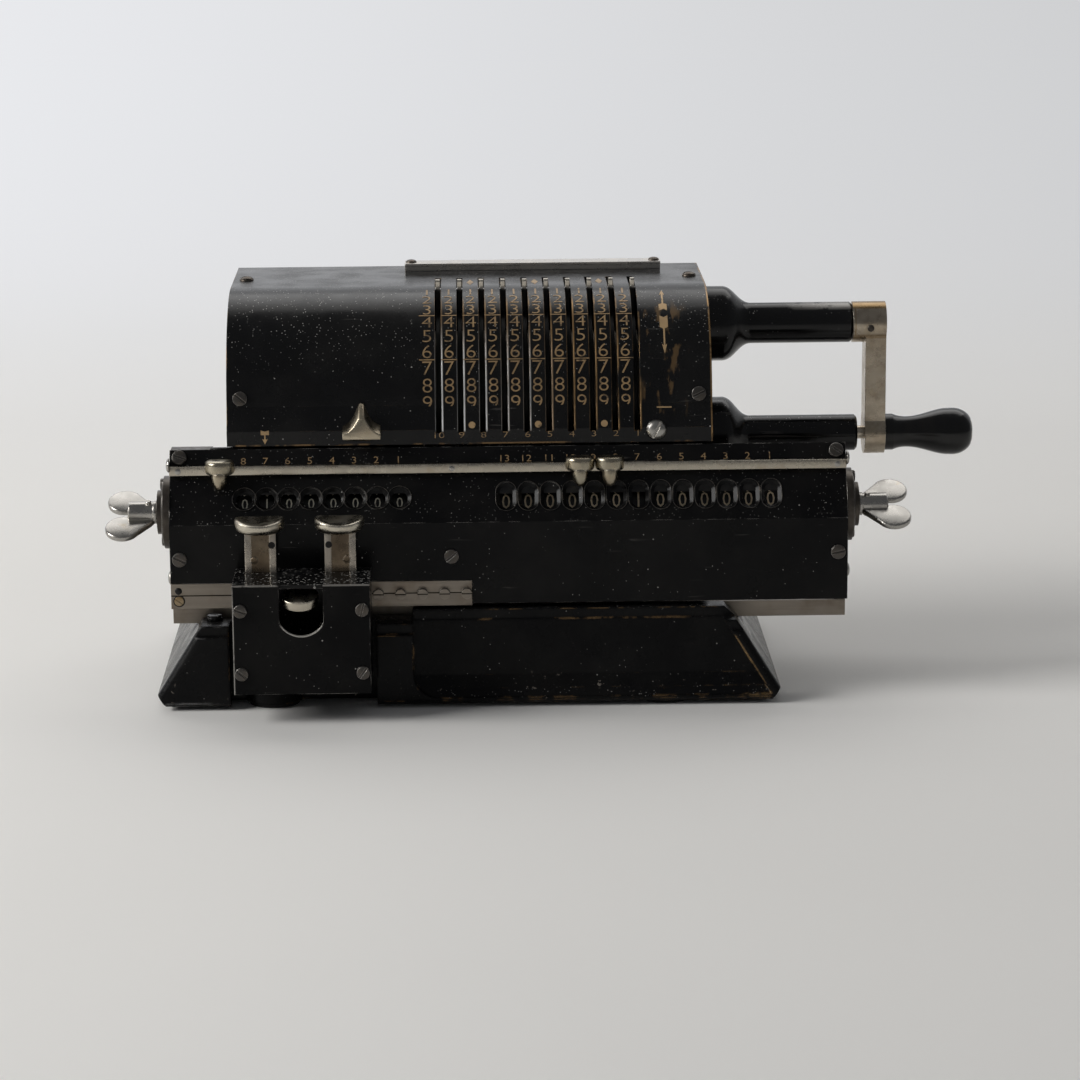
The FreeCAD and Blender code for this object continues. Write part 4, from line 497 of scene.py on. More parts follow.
def cast_enamel():
    """Thicker enamel over a cast skin, a painted highlight down the left front corner, worn at the right
    front corner and chipped along the foot.
    """
    finish = Finish("cast_iron_enamel", specular=0.1)
    edge = worn_edges(finish, 0.9, 0.3)
    base = finish.mix(finish.product(edge, 0.8), enamel_base(finish), colours().worn_brass)
    corner = finish.rounded(1.3)
    # painted highlight: a silver streak down the left front corner, where the rounded edge catches the light
    # from the left
    left = finish.product(corner, finish.below(finish.x, -CAST_CORNER_X, 4.0),
                          finish.below(finish.z, CAST_LEFT_HIGHLIGHT_Z, 3.0),
                          finish.ramp(finish.noise(12.0, 3.0), 0.4, 0.62), 0.75)
    base = finish.mix(left, base, CORNER_HIGHLIGHT)
    right = finish.product(corner, finish.above(finish.x, CAST_CORNER_X, 3.0),
                           finish.below(finish.z, CAST_RIGHT_WORN_Z, 2.0),
                           finish.ramp(finish.noise(9.0, 3.0), 0.42, 0.58))
    base = finish.mix(right, base, CORNER_BRASS)
    foot = finish.below(finish.z, CAST_CHIPS_Z, 8.0)
    chips = finish.product(finish.ramp(finish.noise(2.4, 4.0), 0.66, 0.7), foot)
    base = finish.mix(chips, base, CAST_CHIP)
    gloss = finish.ramp(finish.noise(10.0, 4.0), 0.3, 0.75, 0.2, 0.36)
    finish.bump(finish.noise(2.2, 3.0), 0.035)
    finish.bump(finish.noise(18.0, 2.0), 0.16)
    return finish.done(base, gloss, finish.product(edge, 0.6))


def nickel(name="warm_nickel", stain=0.35, radius=0.4, grain=(1.0, 1.0, 1.0), tint=None, shade=0.0,
           browned_and_shade=None):
    """Warm nickel plate, softly stained and rubbed, with a fine polish grain. The last argument returns a
    mask for brown wear and painted shade.
    """
    finish = Finish(name, metallic=1.0)
    edge = finish.rounded(radius)
    dull = finish.ramp(finish.noise(9.0, 3.0), 0.66 - stain * 0.35, 0.86)
    pits = finish.product(finish.specks(1.6, 0.12), finish.ramp(finish.noise(5.0), 0.55, 0.7))
    base = finish.mix(dull, tint or colours().nickel, colours().nickel_stain)
    base = finish.mix(finish.product(pits, 0.5), base, colours().steel_stain)
    if shade:
        base = finish.mix(finish.product(finish.ramp(finish.noise(3.5, 4.0), 0.4, 0.7), shade), base,
                          colours().steel_stain)
    base = finish.mix(finish.product(edge, 0.4), base, RUBBED_NICKEL)
    if browned_and_shade is not None:
        base = finish.mix(browned_and_shade(finish), base, BROWN_WEAR_AND_SHADE)
    lines = finish.noise(0.5, 2.0, grain)
    rough = finish.ramp(finish.noise(6.0, 4.0), 0.3, 0.75, 0.2, 0.38)
    finish.bump(lines, 0.005)
    return finish.done(base, rough)


def blade_nickel():
    """The levers: bright tips, and rings painted near black below the cover's surface as painted shade under
    the cover.
    """
    finish = Finish("blade_nickel", metallic=1.0)
    edge = finish.rounded(0.3)
    reach = finish.distance(finish.y, ROTOR_Y, finish.z, middle("rotor_bushes").z)
    bright = finish.above(reach, COVER_RADIUS - 1.2, 1.6)
    base = finish.mix(finish.product(edge, 0.4), (0.62, 0.57, 0.49), (0.82, 0.78, 0.70))
    # painted shade: below the cover's surface the levers are painted near black
    base = finish.mix(bright, (0.022, 0.020, 0.018), base)
    finish.bump(finish.noise(0.5, 2.0), 0.005)
    rough = finish.ramp(bright, 0.0, 1.0, 0.5, 0.24)
    return finish.done(base, rough, finish.ramp(bright, 0.0, 1.0, 0.3, 1.0))


def steel(name="machined_steel", grain=(0.03, 1.0, 1.0), stain=0.5, groove=None):
    """Dull steel with tool lines and soft brown stains. Groove is the height of a dark line along it."""
    finish = Finish(name, metallic=1.0)
    edge = finish.rounded(0.3)
    stains = finish.ramp(finish.noise(14.0, 3.0), 0.66 - stain * 0.3, 0.8)
    base = finish.mix(stains, colours().steel, colours().steel_stain)
    base = finish.mix(finish.product(edge, 0.5), base, RUBBED_STEEL)
    if groove is not None:
        line = finish.between(finish.z, groove - 0.22, groove + 0.22, 0.12, 0.12)
        base = finish.mix(line, base, GROOVE_BLACK)
    lines = finish.noise(0.6, 3.0, grain)
    rough = finish.ramp(lines, 0.3, 0.7, 0.34, 0.5)
    finish.bump(lines, 0.01)
    return finish.done(base, rough)


def dark_steel(name="dark_steel", tint=None, shine=0.0):
    """Blackened steel with lighter rubbed edges."""
    finish = Finish(name, metallic=0.85)
    edge = finish.rounded(0.25)
    tone = finish.ramp(finish.noise(3.0, 4.0), 0.35, 0.7)
    base = finish.mix(tone, tint or colours().dark_steel, (0.09, 0.078, 0.066))
    base = finish.mix(finish.product(edge, 0.5 + shine), base, colours().bare_steel)
    rough = finish.ramp(finish.noise(2.0, 3.0), 0.3, 0.7, 0.28, 0.44)
    finish.bump(finish.noise(0.7, 3.0), 0.015)
    return finish.done(base, rough)


def brass(name="gear_brass", tint=None):
    finish = Finish(name, metallic=1.0)
    finish.rounded(0.2)
    tone = finish.ramp(finish.noise(5.0, 4.0), 0.35, 0.7)
    base = finish.mix(tone, tint or colours().brass, (0.28, 0.19, 0.09))
    rough = finish.ramp(finish.noise(3.0, 3.0), 0.3, 0.7, 0.3, 0.45)
    finish.bump(finish.noise(0.8, 2.0), 0.01)
    return finish.done(base, rough)


def rubber():
    finish = Finish("black_rubber", specular=0.3)
    finish.rounded(0.5)
    tone = finish.ramp(finish.noise(4.0, 4.0), 0.35, 0.7)
    base = finish.mix(tone, colours().rubber, (0.022, 0.021, 0.020))
    finish.bump(finish.noise(0.5, 3.0), 0.06)
    return finish.done(base, finish.ramp(tone, 0.0, 1.0, 0.7, 0.85))


def lacquer():
    """The grip's black lacquer, glossy with rubbed bands."""
    finish = Finish("grip_lacquer", specular=0.4)
    bands = finish.ramp(finish.noise(5.0, 3.0, (1.0, 0.15, 0.15)), 0.45, 0.75)
    base = finish.mix(bands, colours().lacquer, (0.009, 0.0075, 0.006))
    rough = finish.ramp(finish.noise(7.0, 4.0), 0.3, 0.75, 0.12, 0.26)
    finish.bump(finish.noise(2.0, 3.0), 0.015)
    return finish.done(base, rough)


# Black paint of the dials; the same black is also painted shade on the window sheets and on dark hole marks.
def drum_paint():
    finish = Finish("dial_black_and_shade", specular=0.25)
    finish.rounded(0.2)
    tone = finish.ramp(finish.noise(4.0, 4.0), 0.35, 0.7)
    base = finish.mix(tone, (0.006, 0.006, 0.006), (0.014, 0.013, 0.012))
    finish.bump(finish.noise(0.8, 2.0), 0.01)
    return finish.done(base, finish.ramp(tone, 0.0, 1.0, 0.3, 0.45))


def mark_paint(name, paint, rubbed, metallic=0.0):
    """Paint filled into marks, rubbed thin in places."""
    finish = Finish(name, metallic=metallic, specular=0.3)
    thin = finish.ramp(finish.noise(2.4, 5.0), 0.66 - rubbed * 0.3, 0.78 - rubbed * 0.2)
    base = finish.mix(finish.product(thin, 0.8), paint, (0.05, 0.04, 0.03))
    base = finish.mix(finish.ramp(finish.noise(18.0, 2.0), 0.4, 0.7, 0.0, 0.35), base, (0.12, 0.08, 0.045))
    return finish.done(base, finish.ramp(thin, 0.0, 1.0, 0.42, 0.6))


FINISHES = {}


def finish_of(kind):
    """Each finish is made once, by its name."""
    bare = colours().bare_steel
    makers = {
        "cover": cover_enamel,
        "enamel": enamel,
        "box": lambda: enamel("box_enamel", wear=0.6, worn=bare, dusty=1.9),
        "plate": lambda: enamel("plate_enamel", wear=0.5, worn=bare, radius=0.3, shine=0.1, roughness=0.2),
        "panel": lambda: enamel("panel_enamel", wear=0.6, worn=bare, radius=0.3, roughness=0.3, shine=0.07,
                                extra=notch_wear),
        "sleeve": lambda: enamel("sleeve_enamel", wear=0.4, worn=bare, roughness=0.18, shine=0.3,
                                 extra=sleeve_wear),
        "cast": cast_enamel,
        "nickel": nickel,
        "arm": lambda: nickel("arm_nickel", stain=0.8, tint=(0.44, 0.38, 0.30), shade=0.35, browned_and_shade=hub_top),
        "wing": lambda: nickel("wing_nickel", stain=0.2, tint=(0.38, 0.365, 0.34)),
        "top_rail": lambda: nickel("top_rail_nickel", stain=0.2, grain=(0.04, 1.0, 1.0),
                                   tint=(0.74, 0.70, 0.64)),
        "cap": lambda: nickel("cap_nickel", stain=0.25, tint=(0.50, 0.46, 0.38)),
        "hood": lambda: nickel("hood_nickel", stain=0.7, tint=(0.36, 0.325, 0.25)),
        "knob": lambda: nickel("knob_nickel", stain=0.8, tint=(0.46, 0.40, 0.30)),
        "screw": lambda: dark_steel("screw_steel", tint=(0.075, 0.07, 0.065), shine=0.3),
        "cover_screw": lambda: dark_steel("cover_screw_steel", tint=(0.085, 0.062, 0.045), shine=0.2),
        "rim": lambda: dark_steel("window_rim", tint=(0.022, 0.022, 0.022), shine=-0.35),
        "bright_gold": lambda: mark_paint("bright_gold_paint", (0.47, 0.32, 0.17), 0.25, 0.25),
        "blade": blade_nickel,
        "strip": lambda: nickel("strip_nickel", stain=0.3, radius=0.2, grain=(0.04, 1.0, 1.0),
                                tint=(0.44, 0.40, 0.33)),
        "rail": lambda: steel("rail_steel", stain=0.7),
        "rack": lambda: steel("rack_steel", stain=0.6, groove=(RACK_LOW.z + RACK_HIGH.z) / 2 + 0.2),
        "steel": steel,
        "stem": lambda: nickel("stem_brown", stain=0.9, tint=(0.20, 0.15, 0.10), shade=0.5),
        "dark_steel": dark_steel,
        "end_steel": lambda: dark_steel("end_steel", tint=(0.06, 0.052, 0.044)),
        "brass": brass,
        "rack_brass": lambda: brass("rack_brass", tint=(0.30, 0.235, 0.15)),
        "rubber": rubber,
        "lacquer": lacquer,
        "drum": drum_paint,
        "gold": lambda: mark_paint("gold_paint", colours().gold_paint, 0.5, 0.25),
        "ivory": lambda: mark_paint("ivory_paint", colours().ivory_paint, 0.25),
        "tan": lambda: mark_paint("tan_paint", colours().tan_paint, 0.35),
    }
    if kind not in FINISHES:
        FINISHES[kind] = makers[kind]()
    return FINISHES[kind]


NODE_FINISHES = {
    "cast": ["base_casting"],
    "cover": ["top_cover"],
    "enamel": ["left_side_plate", "right_side_plate", "rear_cover", "front_apron", "base_plate"],
    "box": ["key_box"],
    "plate": ["carriage_face_plate"],
    "panel": ["key_box_panel"],
    "sleeve": ["crank_bearing", "crank_rest_post"],
    "arm": ["crank_arm"],
    "nickel": ["release_key", "shift_key_left", "shift_key_right", "zero_slide_knob", "decimal_marker_left",
               "decimal_marker_middle", "decimal_marker_right", "crank_lock_spindle"],
    "wing": ["result_wing_nut", "counter_wing_nut"],
    "blade": [f"setting_lever_{number:02d}" for number in range(1, LEVER_COUNT + 1)],
    "strip": ["marker_strip"],
    "rail": ["carriage_rail"],
    "top_rail": ["setting_rail"],
    "rack": ["stop_rack"],
    "steel": ["carriage_guide", "rotor_shaft", "transfer_shaft", "crank_shaft", "result_shaft",
              "counter_shaft", "pinwheel_discs", "setting_pins", "counting_finger"],
    "dark_steel": ["frame_screws", "carriage_screws"],
    "end_steel": ["carriage_left_end", "carriage_right_end", "carriage_centre_bearing"],
    "brass": ["rotor_bushes", "rotor_gear", "crank_gear", "transfer_gears", "counter_transfer_gear"],
    "rubber": ["rubber_feet"],
    "lacquer": ["crank_grip"],
    "drum": ["result_dials", "counter_dials"],
}


# Mesh helpers. Pieces are drawn in millimetres and scaled when they are finished.
def verts_of(geom):
    return [part for part in geom if isinstance(part, bmesh.types.BMVert)]


def arc_point(radius, degrees):
    turn = math.radians(degrees)
    return radius * math.cos(turn), radius * math.sin(turn)


def piece(name, mesh, finishes, body, smooth_angle=35.0, replaces=()):
    """Finish a bmesh as one piece that rides on a body."""
    bmesh.ops.remove_doubles(mesh, verts=mesh.verts, dist=0.0005)
    bmesh.ops.recalc_face_normals(mesh, faces=mesh.faces)
    bmesh.ops.scale(mesh, vec=(MM, MM, MM), verts=mesh.verts)
    limit = math.radians(smooth_angle)
    for face in mesh.faces:
        face.smooth = True
    for edge in mesh.edges:
        edge.smooth = edge.is_manifold and edge.calc_face_angle(0.0) < limit
    data = bpy.data.meshes.new(name)
    mesh.to_mesh(data)
    mesh.free()
    for kind in finishes:
        data.materials.append(finish_of(kind))
    made = bpy.data.objects.new(name, data)
    bpy.context.scene.collection.objects.link(made)
    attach(made, body)
    if replaces:
        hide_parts(*replaces)
    return made


def merge(target, source, matrix=Matrix.Identity(4), material=0):
    """Copy one bmesh into another through a matrix."""
    bmesh.ops.transform(source, matrix=matrix, verts=source.verts)
    for face in source.faces:
        face.material_index = material
    data = bpy.data.meshes.new("part")
    source.to_mesh(data)
    source.free()
    target.from_mesh(data)
    bpy.data.meshes.remove(data)


def turned(profile, steps=48):
    """A solid of revolution about Z from (radius, height) points, from the axis back to the axis."""
    mesh = bmesh.new()
    verts = [mesh.verts.new((radius, 0, height)) for radius, height in profile]
    edges = [mesh.edges.new(pair) for pair in zip(verts, verts[1:])]
    bmesh.ops.spin(mesh, geom=verts + edges, cent=(0, 0, 0), axis=(0, 0, 1), dvec=(0, 0, 0),
                   angle=math.tau, steps=steps, use_merge=True)
    bmesh.ops.remove_doubles(mesh, verts=mesh.verts, dist=0.0005)
    bmesh.ops.recalc_face_normals(mesh, faces=mesh.faces)
    return mesh


def slab(outline, depth):
    """A plate from (x, y) points, standing from z 0 to its depth."""
    mesh = bmesh.new()
    face = mesh.faces.new([mesh.verts.new((x, y, 0)) for x, y in outline])
    grown = bmesh.ops.extrude_face_region(mesh, geom=[face])["geom"]
    bmesh.ops.translate(mesh, vec=(0, 0, depth), verts=verts_of(grown))
    bmesh.ops.recalc_face_normals(mesh, faces=mesh.faces)
    return mesh


def soften(mesh, width, segments=3, sharpest=30.0):
    """Bevel every edge sharper than an angle."""
    edges = [e for e in mesh.edges if e.is_manifold and e.calc_face_angle(0.0) > math.radians(sharpest)]
    bmesh.ops.bevel(mesh, geom=edges, offset=width, offset_type="OFFSET", affect="EDGES", segments=segments,
                    profile=0.5, clamp_overlap=True, material=-1)


def block(low, high):
    mesh = bmesh.new()
    bmesh.ops.create_cube(mesh, size=1.0)
    size = Vector(high) - Vector(low)
    bmesh.ops.scale(mesh, vec=size, verts=mesh.verts)
    bmesh.ops.translate(mesh, vec=(Vector(high) + Vector(low)) / 2, verts=mesh.verts)
    return mesh


def soft_block(low, high, width, segments=2):
    mesh = block(low, high)
    soften(mesh, width, segments)
    return mesh


def disc(radius, height, steps):
    return turned([(0, 0), (radius, 0), (radius, height), (0, height)], steps)


def lofted(rings):
    """A solid through closed rings of points, capped at both ends."""
    mesh = bmesh.new()
    loops = []
    for points in rings:
        verts = [mesh.verts.new(point) for point in points]
        loops.append([mesh.edges.new(pair) for pair in zip(verts, verts[1:] + verts[:1])])
    for near, far in zip(loops, loops[1:]):
        bmesh.ops.bridge_loops(mesh, edges=near + far)
    for loop in (loops[0], loops[-1]):
        bmesh.ops.edgeloop_fill(mesh, edges=loop)
    bmesh.ops.recalc_face_normals(mesh, faces=mesh.faces)
    return mesh


def trimmed(mesh, place, out):
    """Cut away what lies beyond a plane and close the cut."""
    geom = mesh.verts[:] + mesh.edges[:] + mesh.faces[:]
    cut = bmesh.ops.bisect_plane(mesh, geom=geom, plane_co=place, plane_no=out, clear_outer=True)["geom_cut"]
    bmesh.ops.edgeloop_fill(mesh, edges=[e for e in cut if isinstance(e, bmesh.types.BMEdge)])
    bmesh.ops.recalc_face_normals(mesh, faces=mesh.faces)
    return mesh


def slotted(profile, slot, floor, steps=40):
    """A turned screw head along Z with a slot along X, as wide as slot and down to a floor."""
    mesh = bmesh.new()
    for side in (1, -1):
        merge(mesh, trimmed(turned(profile, steps), (0, side * slot / 2, 0), (0, -side, 0)))
    merge(mesh, trimmed(turned(profile, steps), (0, 0, floor), (0, 0, 1)))
    return mesh


def along(place, out, turn=0.0):
    """A matrix that carries a head drawn along Z to a place, pointing out, turned about its axis."""
    swing = Vector((0, 0, 1)).rotation_difference(Vector(out).normalized()).to_matrix().to_4x4()
    return Matrix.Translation(Vector(place)) @ swing @ Matrix.Rotation(math.radians(turn), 4, "Z")


# Sections of screw heads, as shares of their radius and height.
DOME = [(0, 1.0), (0.35, 0.97), (0.62, 0.84), (0.82, 0.62), (0.95, 0.32), (1.0, 0.0), (0, 0)]
CHEESE = [(0, 1.0), (0.82, 1.0), (0.95, 0.9), (1.0, 0.7), (1.0, 0.0), (0, 0)]


def add_head(mesh, section, radius, height, place, out, turn=0.0, slot=None, steps=40, material=0):
    """Add a screw's head to a mesh. A slot is given by its width and the height of its floor."""
    profile = [(share * radius, rise * height) for share, rise in section]
    head = slotted(profile, *slot, steps) if slot else turned(profile, steps)
    merge(mesh, head, along(place, out, turn), material)


def frame_at(place, right, up):
    """A matrix that carries X to right and Y to up, with Z out of the surface."""
    right = Vector(right).normalized()
    up = Vector(up).normalized()
    out = right.cross(up)
    turn = Matrix((right, up, out)).transposed().to_4x4()
    return Matrix.Translation(Vector(place)) @ turn


def glyphs(number, height_m, weight=0.0, resolution=3, width_share=1.0):
    """A number as a thin solid of paint on z 0, round its own middle. Its height is in metres."""
    depth = in_mm(sizes().paint)
    curve = bpy.data.curves.new("numerals", "FONT")
    curve.body = str(number)
    curve.resolution_u = resolution
    curve.extrude = 0.01
    curve.offset = weight
    holder = bpy.data.objects.new("numerals", curve)
    bpy.context.scene.collection.objects.link(holder)
    bpy.context.view_layer.update()
    data = bpy.data.meshes.new_from_object(holder.evaluated_get(bpy.context.evaluated_depsgraph_get()))
    bpy.data.objects.remove(holder)
    bpy.data.curves.remove(curve)
    mesh = bmesh.new()
    mesh.from_mesh(data)
    bpy.data.meshes.remove(data)
    bmesh.ops.remove_doubles(mesh, verts=mesh.verts, dist=0.0001)
    low = Vector([min(v.co[i] for v in mesh.verts) for i in range(3)])
    high = Vector([max(v.co[i] for v in mesh.verts) for i in range(3)])
    bmesh.ops.translate(mesh, vec=-(low + high) / 2, verts=mesh.verts)
    scale = in_mm(height_m) / (high.y - low.y)
    bmesh.ops.scale(mesh, vec=(scale * width_share, scale, depth / (high.z - low.z)), verts=mesh.verts)
    bmesh.ops.translate(mesh, vec=(0, 0, depth / 2), verts=mesh.verts)
    return mesh


BEND_STEP = 0.05


def wrap(mesh, radius, centre, x, angle):
    """Bend a flat mesh round an axis along X: its Y runs up the arc from an angle above -Y.

    The mesh is first cut into rows, a small share of the radius high, so that long strokes follow the arc.
    """
    centre_y, centre_z = centre
    heights = [vert.co.y for vert in mesh.verts]
    step = radius * BEND_STEP
    for row in range(1, int((max(heights) - min(heights)) / step) + 1):
        geom = mesh.verts[:] + mesh.edges[:] + mesh.faces[:]
        level = (0, min(heights) + row * step, 0)
        bmesh.ops.bisect_plane(mesh, geom=geom, plane_co=level, plane_no=(0, 1, 0))
    for vert in mesh.verts:
        turn = math.radians(angle) + vert.co.y / radius
        reach = radius + vert.co.z
        vert.co = (x + vert.co.x, centre_y - reach * math.cos(turn), centre_z + reach * math.sin(turn))


def bar_points(half_x, half_y):
    return [(-half_x, -half_y), (half_x, -half_y), (half_x, half_y), (-half_x, half_y)]


def outline_of(points):
    """A thin flat mark from (x, y) points."""
    return slab(points, in_mm(sizes().paint))


# Operators.
class FinishNodes(bpy.types.Operator):
    """Give every node of the frame its finish"""

    bl_idname = "calculator.finish_nodes"
    bl_label = "Finish the frame's nodes"

    def execute(self, context):
        for kind, names in NODE_FINISHES.items():
            for name in names:
                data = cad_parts[name].data
                data.materials.clear()
                data.materials.append(finish_of(kind))
        bare = set(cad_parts) - {name for names in NODE_FINISHES.values() for name in names}
        if bare:
            raise RuntimeError(f"nodes without a finish: {sorted(bare)}")
        return {"FINISHED"}


DIGIT_DROP = 0.8
NUMERAL_WEIGHT = -0.012
DIVIDER_PLACES = (3.5, 6.5)
DIVIDER_HALF = (2.9, 0.2)
SLOT_NUMBER_SHIFT = 0.2
SLOT_NUMBER_RISE = 3.4


def digit_angle(digit):
    """The angle on the cover beside which a lever stands when it is set to a digit."""
    return LEVER_ZERO - LEVER_STEP * digit - DIGIT_DROP


def lay_on_arc(target, mark, x, angle):
    """Bend a flat mark round the cover's arc and add it to a mesh."""
    wrap(mark, COVER_RADIUS + in_mm(sizes().paint), (ROTOR_Y, COVER_ARC_Z), x, angle)
    merge(target, mark)


class CoverNumerals(bpy.types.Operator):
    """Digit columns beside the setting slots, with their bars and the slot numbers"""

    bl_idname = "calculator.cover_numerals"
    bl_label = "Cover numerals"

    def execute(self, context):
        mesh = bmesh.new()
        for x in LEVER_XS:
            column = x - PITCH / 2
            for digit in range(1, 10):
                mark = glyphs(digit, sizes().cover_digit, weight=NUMERAL_WEIGHT, width_share=1.12)
                lay_on_arc(mesh, mark, column, digit_angle(digit))
            for place in DIVIDER_PLACES:
                lay_on_arc(mesh, outline_of(bar_points(*DIVIDER_HALF)), column, digit_angle(place))
        for number, x in enumerate(LEVER_XS, start=1):
            mark = glyphs(number, sizes().slot_number, weight=NUMERAL_WEIGHT, width_share=1.5)
            spot = (x + SLOT_NUMBER_SHIFT, COVER_LOW.y, COVER_LOW.z + SLOT_NUMBER_RISE)
            merge(mesh, mark, frame_at(spot, RIGHT, UP))
        piece("cover_numerals", mesh, ["gold"], "frame")
        return {"FINISHED"}


ARROWS_X = LEVER_XS[0] + 10.4
ARROW_WIDTH = 3.0
ARROW_UP = (56.7, 61.7, 76.3)
ARROW_DOWN = (53.0, 45.3, 29.7)
FRONT_TOP_RISE = 2.8
FRONT_LIFT = Vector((0, -0.03, 0.01))
MINUS_Z = 103.1
MINUS_SHIFT = -0.6
MINUS_HALF = (2.7, 0.25)
MARKED_SLOTS = (2, 5, 8)
LOZENGE = [(0, -6.0), (1.3, 0), (0, 6.0), (-1.3, 0)]
LOZENGE_Y = ROTOR_Y + 7.5
LOZENGE_LIFT = 0.02
DOT_RADIUS = 1.25
DOT_RISE = 0.18
SMALL_ARROW_X = -73.0
SMALL_ARROW_RISE = 3.6
SMALL_ARROW = (
    [(-1.5, 0.6), (1.5, 0.6), (1.5, 2.3), (0, 1.9), (-1.5, 2.3)],
    [(-0.25, -1.2), (0.25, -1.2), (0.25, 0.6), (-0.25, 0.6)],
    [(-1.0, -0.9), (0, -1.2), (1.0, -0.9), (0, -2.8)],
)


def arc_marks(angles, width):
    """An arrow up or down the arc: a notched block, a shaft and a pointed head between three angles."""
    block_from, block_to, tip = [COVER_RADIUS * math.radians(angle) for angle in angles]
    way = 1 if tip > block_from else -1
    neck = tip - way * width
    half = width / 2
    rod_half = width * 0.1
    notch = way * width * 0.28
    yield [(-half, block_from), (0, block_from + notch), (half, block_from), (half, block_to),
           (0, block_to + notch), (-half, block_to)]
    yield [(-rod_half, block_to), (rod_half, block_to), (rod_half, neck), (-rod_half, neck)]
    yield [(-half * 0.62, neck - notch), (0, neck), (half * 0.62, neck - notch), (0, tip)]


class CoverMarks(bpy.types.Operator):
    """Arrows, lozenges, dots and the minus bar on the cover"""

    bl_idname = "calculator.cover_marks"
    bl_label = "Cover marks"

    def execute(self, context):
        mesh = bmesh.new()
        for angles in (ARROW_UP, ARROW_DOWN):
            for points in arc_marks(angles, ARROW_WIDTH):
                lay_on_arc(mesh, outline_of(points), ARROWS_X, 0.0)
        foot = Vector((0, COVER_LOW.y, COVER_SKIRT_TOP))
        top = Vector((0, ROTOR_Y - COVER_RADIUS, COVER_ARC_Z + FRONT_TOP_RISE))
        rise = (MINUS_Z - foot.z) / (top.z - foot.z)
        spot = foot.lerp(top, rise) + FRONT_LIFT + Vector((ARROWS_X + MINUS_SHIFT, 0, 0))
        merge(mesh, outline_of(bar_points(*MINUS_HALF)), frame_at(spot, RIGHT, top - foot))
        for slot in MARKED_SLOTS:
            x = LEVER_XS[slot] + PITCH / 2
            spot = (x, LOZENGE_Y, COVER_HIGH.z + LOZENGE_LIFT)
            merge(mesh, outline_of(LOZENGE), frame_at(spot, RIGHT, BACK))
            spot = foot.lerp(top, DOT_RISE) + FRONT_LIFT + Vector((x, 0, 0))
            merge(mesh, disc(DOT_RADIUS, in_mm(sizes().paint), 20), frame_at(spot, RIGHT, top - foot))
        spot = (SMALL_ARROW_X, COVER_LOW.y, COVER_LOW.z + SMALL_ARROW_RISE)
        for points in SMALL_ARROW:
            merge(mesh, outline_of(points), frame_at(spot, RIGHT, UP))
        piece("cover_marks", mesh, ["bright_gold"], "frame")
        return {"FINISHED"}


PLACE_NUMBER_RISE = 0.25
PLACE_NUMBER_SHIFT = -0.3


class PlaceNumbers(bpy.types.Operator):
    """Place numbers on the slope above the marker strip"""

    bl_idname = "calculator.place_numbers"
    bl_label = "Place numbers"

    def execute(self, context):
        mesh = bmesh.new()
        spot = SLOPE_FOOT.lerp(SLOPE_TOP, PLACE_NUMBER_RISE)
        for xs in (RESULT_XS, COUNTER_XS):
            for number, x in enumerate(xs, start=1):
                mark = glyphs(number, sizes().place_number, weight=-0.01, width_share=1.2)
                place = (x + PLACE_NUMBER_SHIFT, spot.y, spot.z)
                merge(mesh, mark, frame_at(place, RIGHT, SLOPE_TOP - SLOPE_FOOT))
        piece("place_numbers", mesh, ["gold"], "carriage")
        return {"FINISHED"}


DIGIT_STEP = 36.0
DIGIT_SETBACK = 2.5
REGISTERS = (
    # name, places of the dials from the right, number shown, paint
    ("counter", COUNTER_XS, "01000000", "ivory"),
    ("result", RESULT_XS, "0000001000000", "tan"),
)


class DialDigits(bpy.types.Operator):
    """Digits round every dial"""

    bl_idname = "calculator.dial_digits"
    bl_label = "Dial digits"

    def execute(self, context):
        radius = in_mm(sizes().dial_radius)
        window_angle = math.degrees(math.atan2(FACE_RISE, FACE_RUN))
        for name, xs, shown, paint in REGISTERS:
            height = getattr(sizes(), f"{name}_digit")
            mesh = bmesh.new()
            for x, reading in zip(xs, reversed(shown)):
                for digit in range(10):
                    mark = glyphs(digit, height, resolution=2, width_share=0.86)
                    turn = window_angle - DIGIT_SETBACK - DIGIT_STEP * (digit - int(reading))
                    wrap(mark, radius, (DIAL_Y, DIAL_Z), x, turn)
                    merge(mesh, mark)
            piece(f"{name}_digits", mesh, [paint], f"{name}_register")
        return {"FINISHED"}


WING_TILT = 25.0
WING_REACH = 12.2
WING_ACROSS = 7.8
WING_RADIUS = 6.4
WING_ROOT = [(8.2, 1.0), (0.6, 1.0), (0.8, 3.6), (1.9, 5.6), (3.6, 7.5), (5.4, 9.6)]
WING_HUB = 4.2
WING_HUB_LENGTH = 10.6
WING_HUB_PROFILE = [(0, 0), (WING_HUB - 0.3, 0), (WING_HUB, 0.3), (WING_HUB, 1.2), (WING_HUB - 0.25, 1.5),
                    (WING_HUB - 0.25, WING_HUB_LENGTH - 0.5), (WING_HUB - 0.8, WING_HUB_LENGTH),
                    (0, WING_HUB_LENGTH)]
WING_PIN_PLACE = 3.0
WING_PIN_PROFILE = [(0, -5.1), (0.7, -5.1), (1.0, -4.8), (1.0, 4.8), (0.7, 5.1), (0, 5.1)]
WING_NUTS = (
    # register, inner end of its node (0 low, 1 high), swing about Z, drop of the paddles
    ("result", 0, 0.0, 0.4),
    ("counter", 1, 180.0, 1.6),
)


def paddle_outline():
    """One paddle from its root on the hub, round its lobe and back. X runs out along the shaft, Y across."""
    lobe = [arc_point(WING_RADIUS, angle) for angle in range(150, -121, -15)]
    return WING_ROOT + [(WING_REACH + x, WING_ACROSS + y) for x, y in lobe]


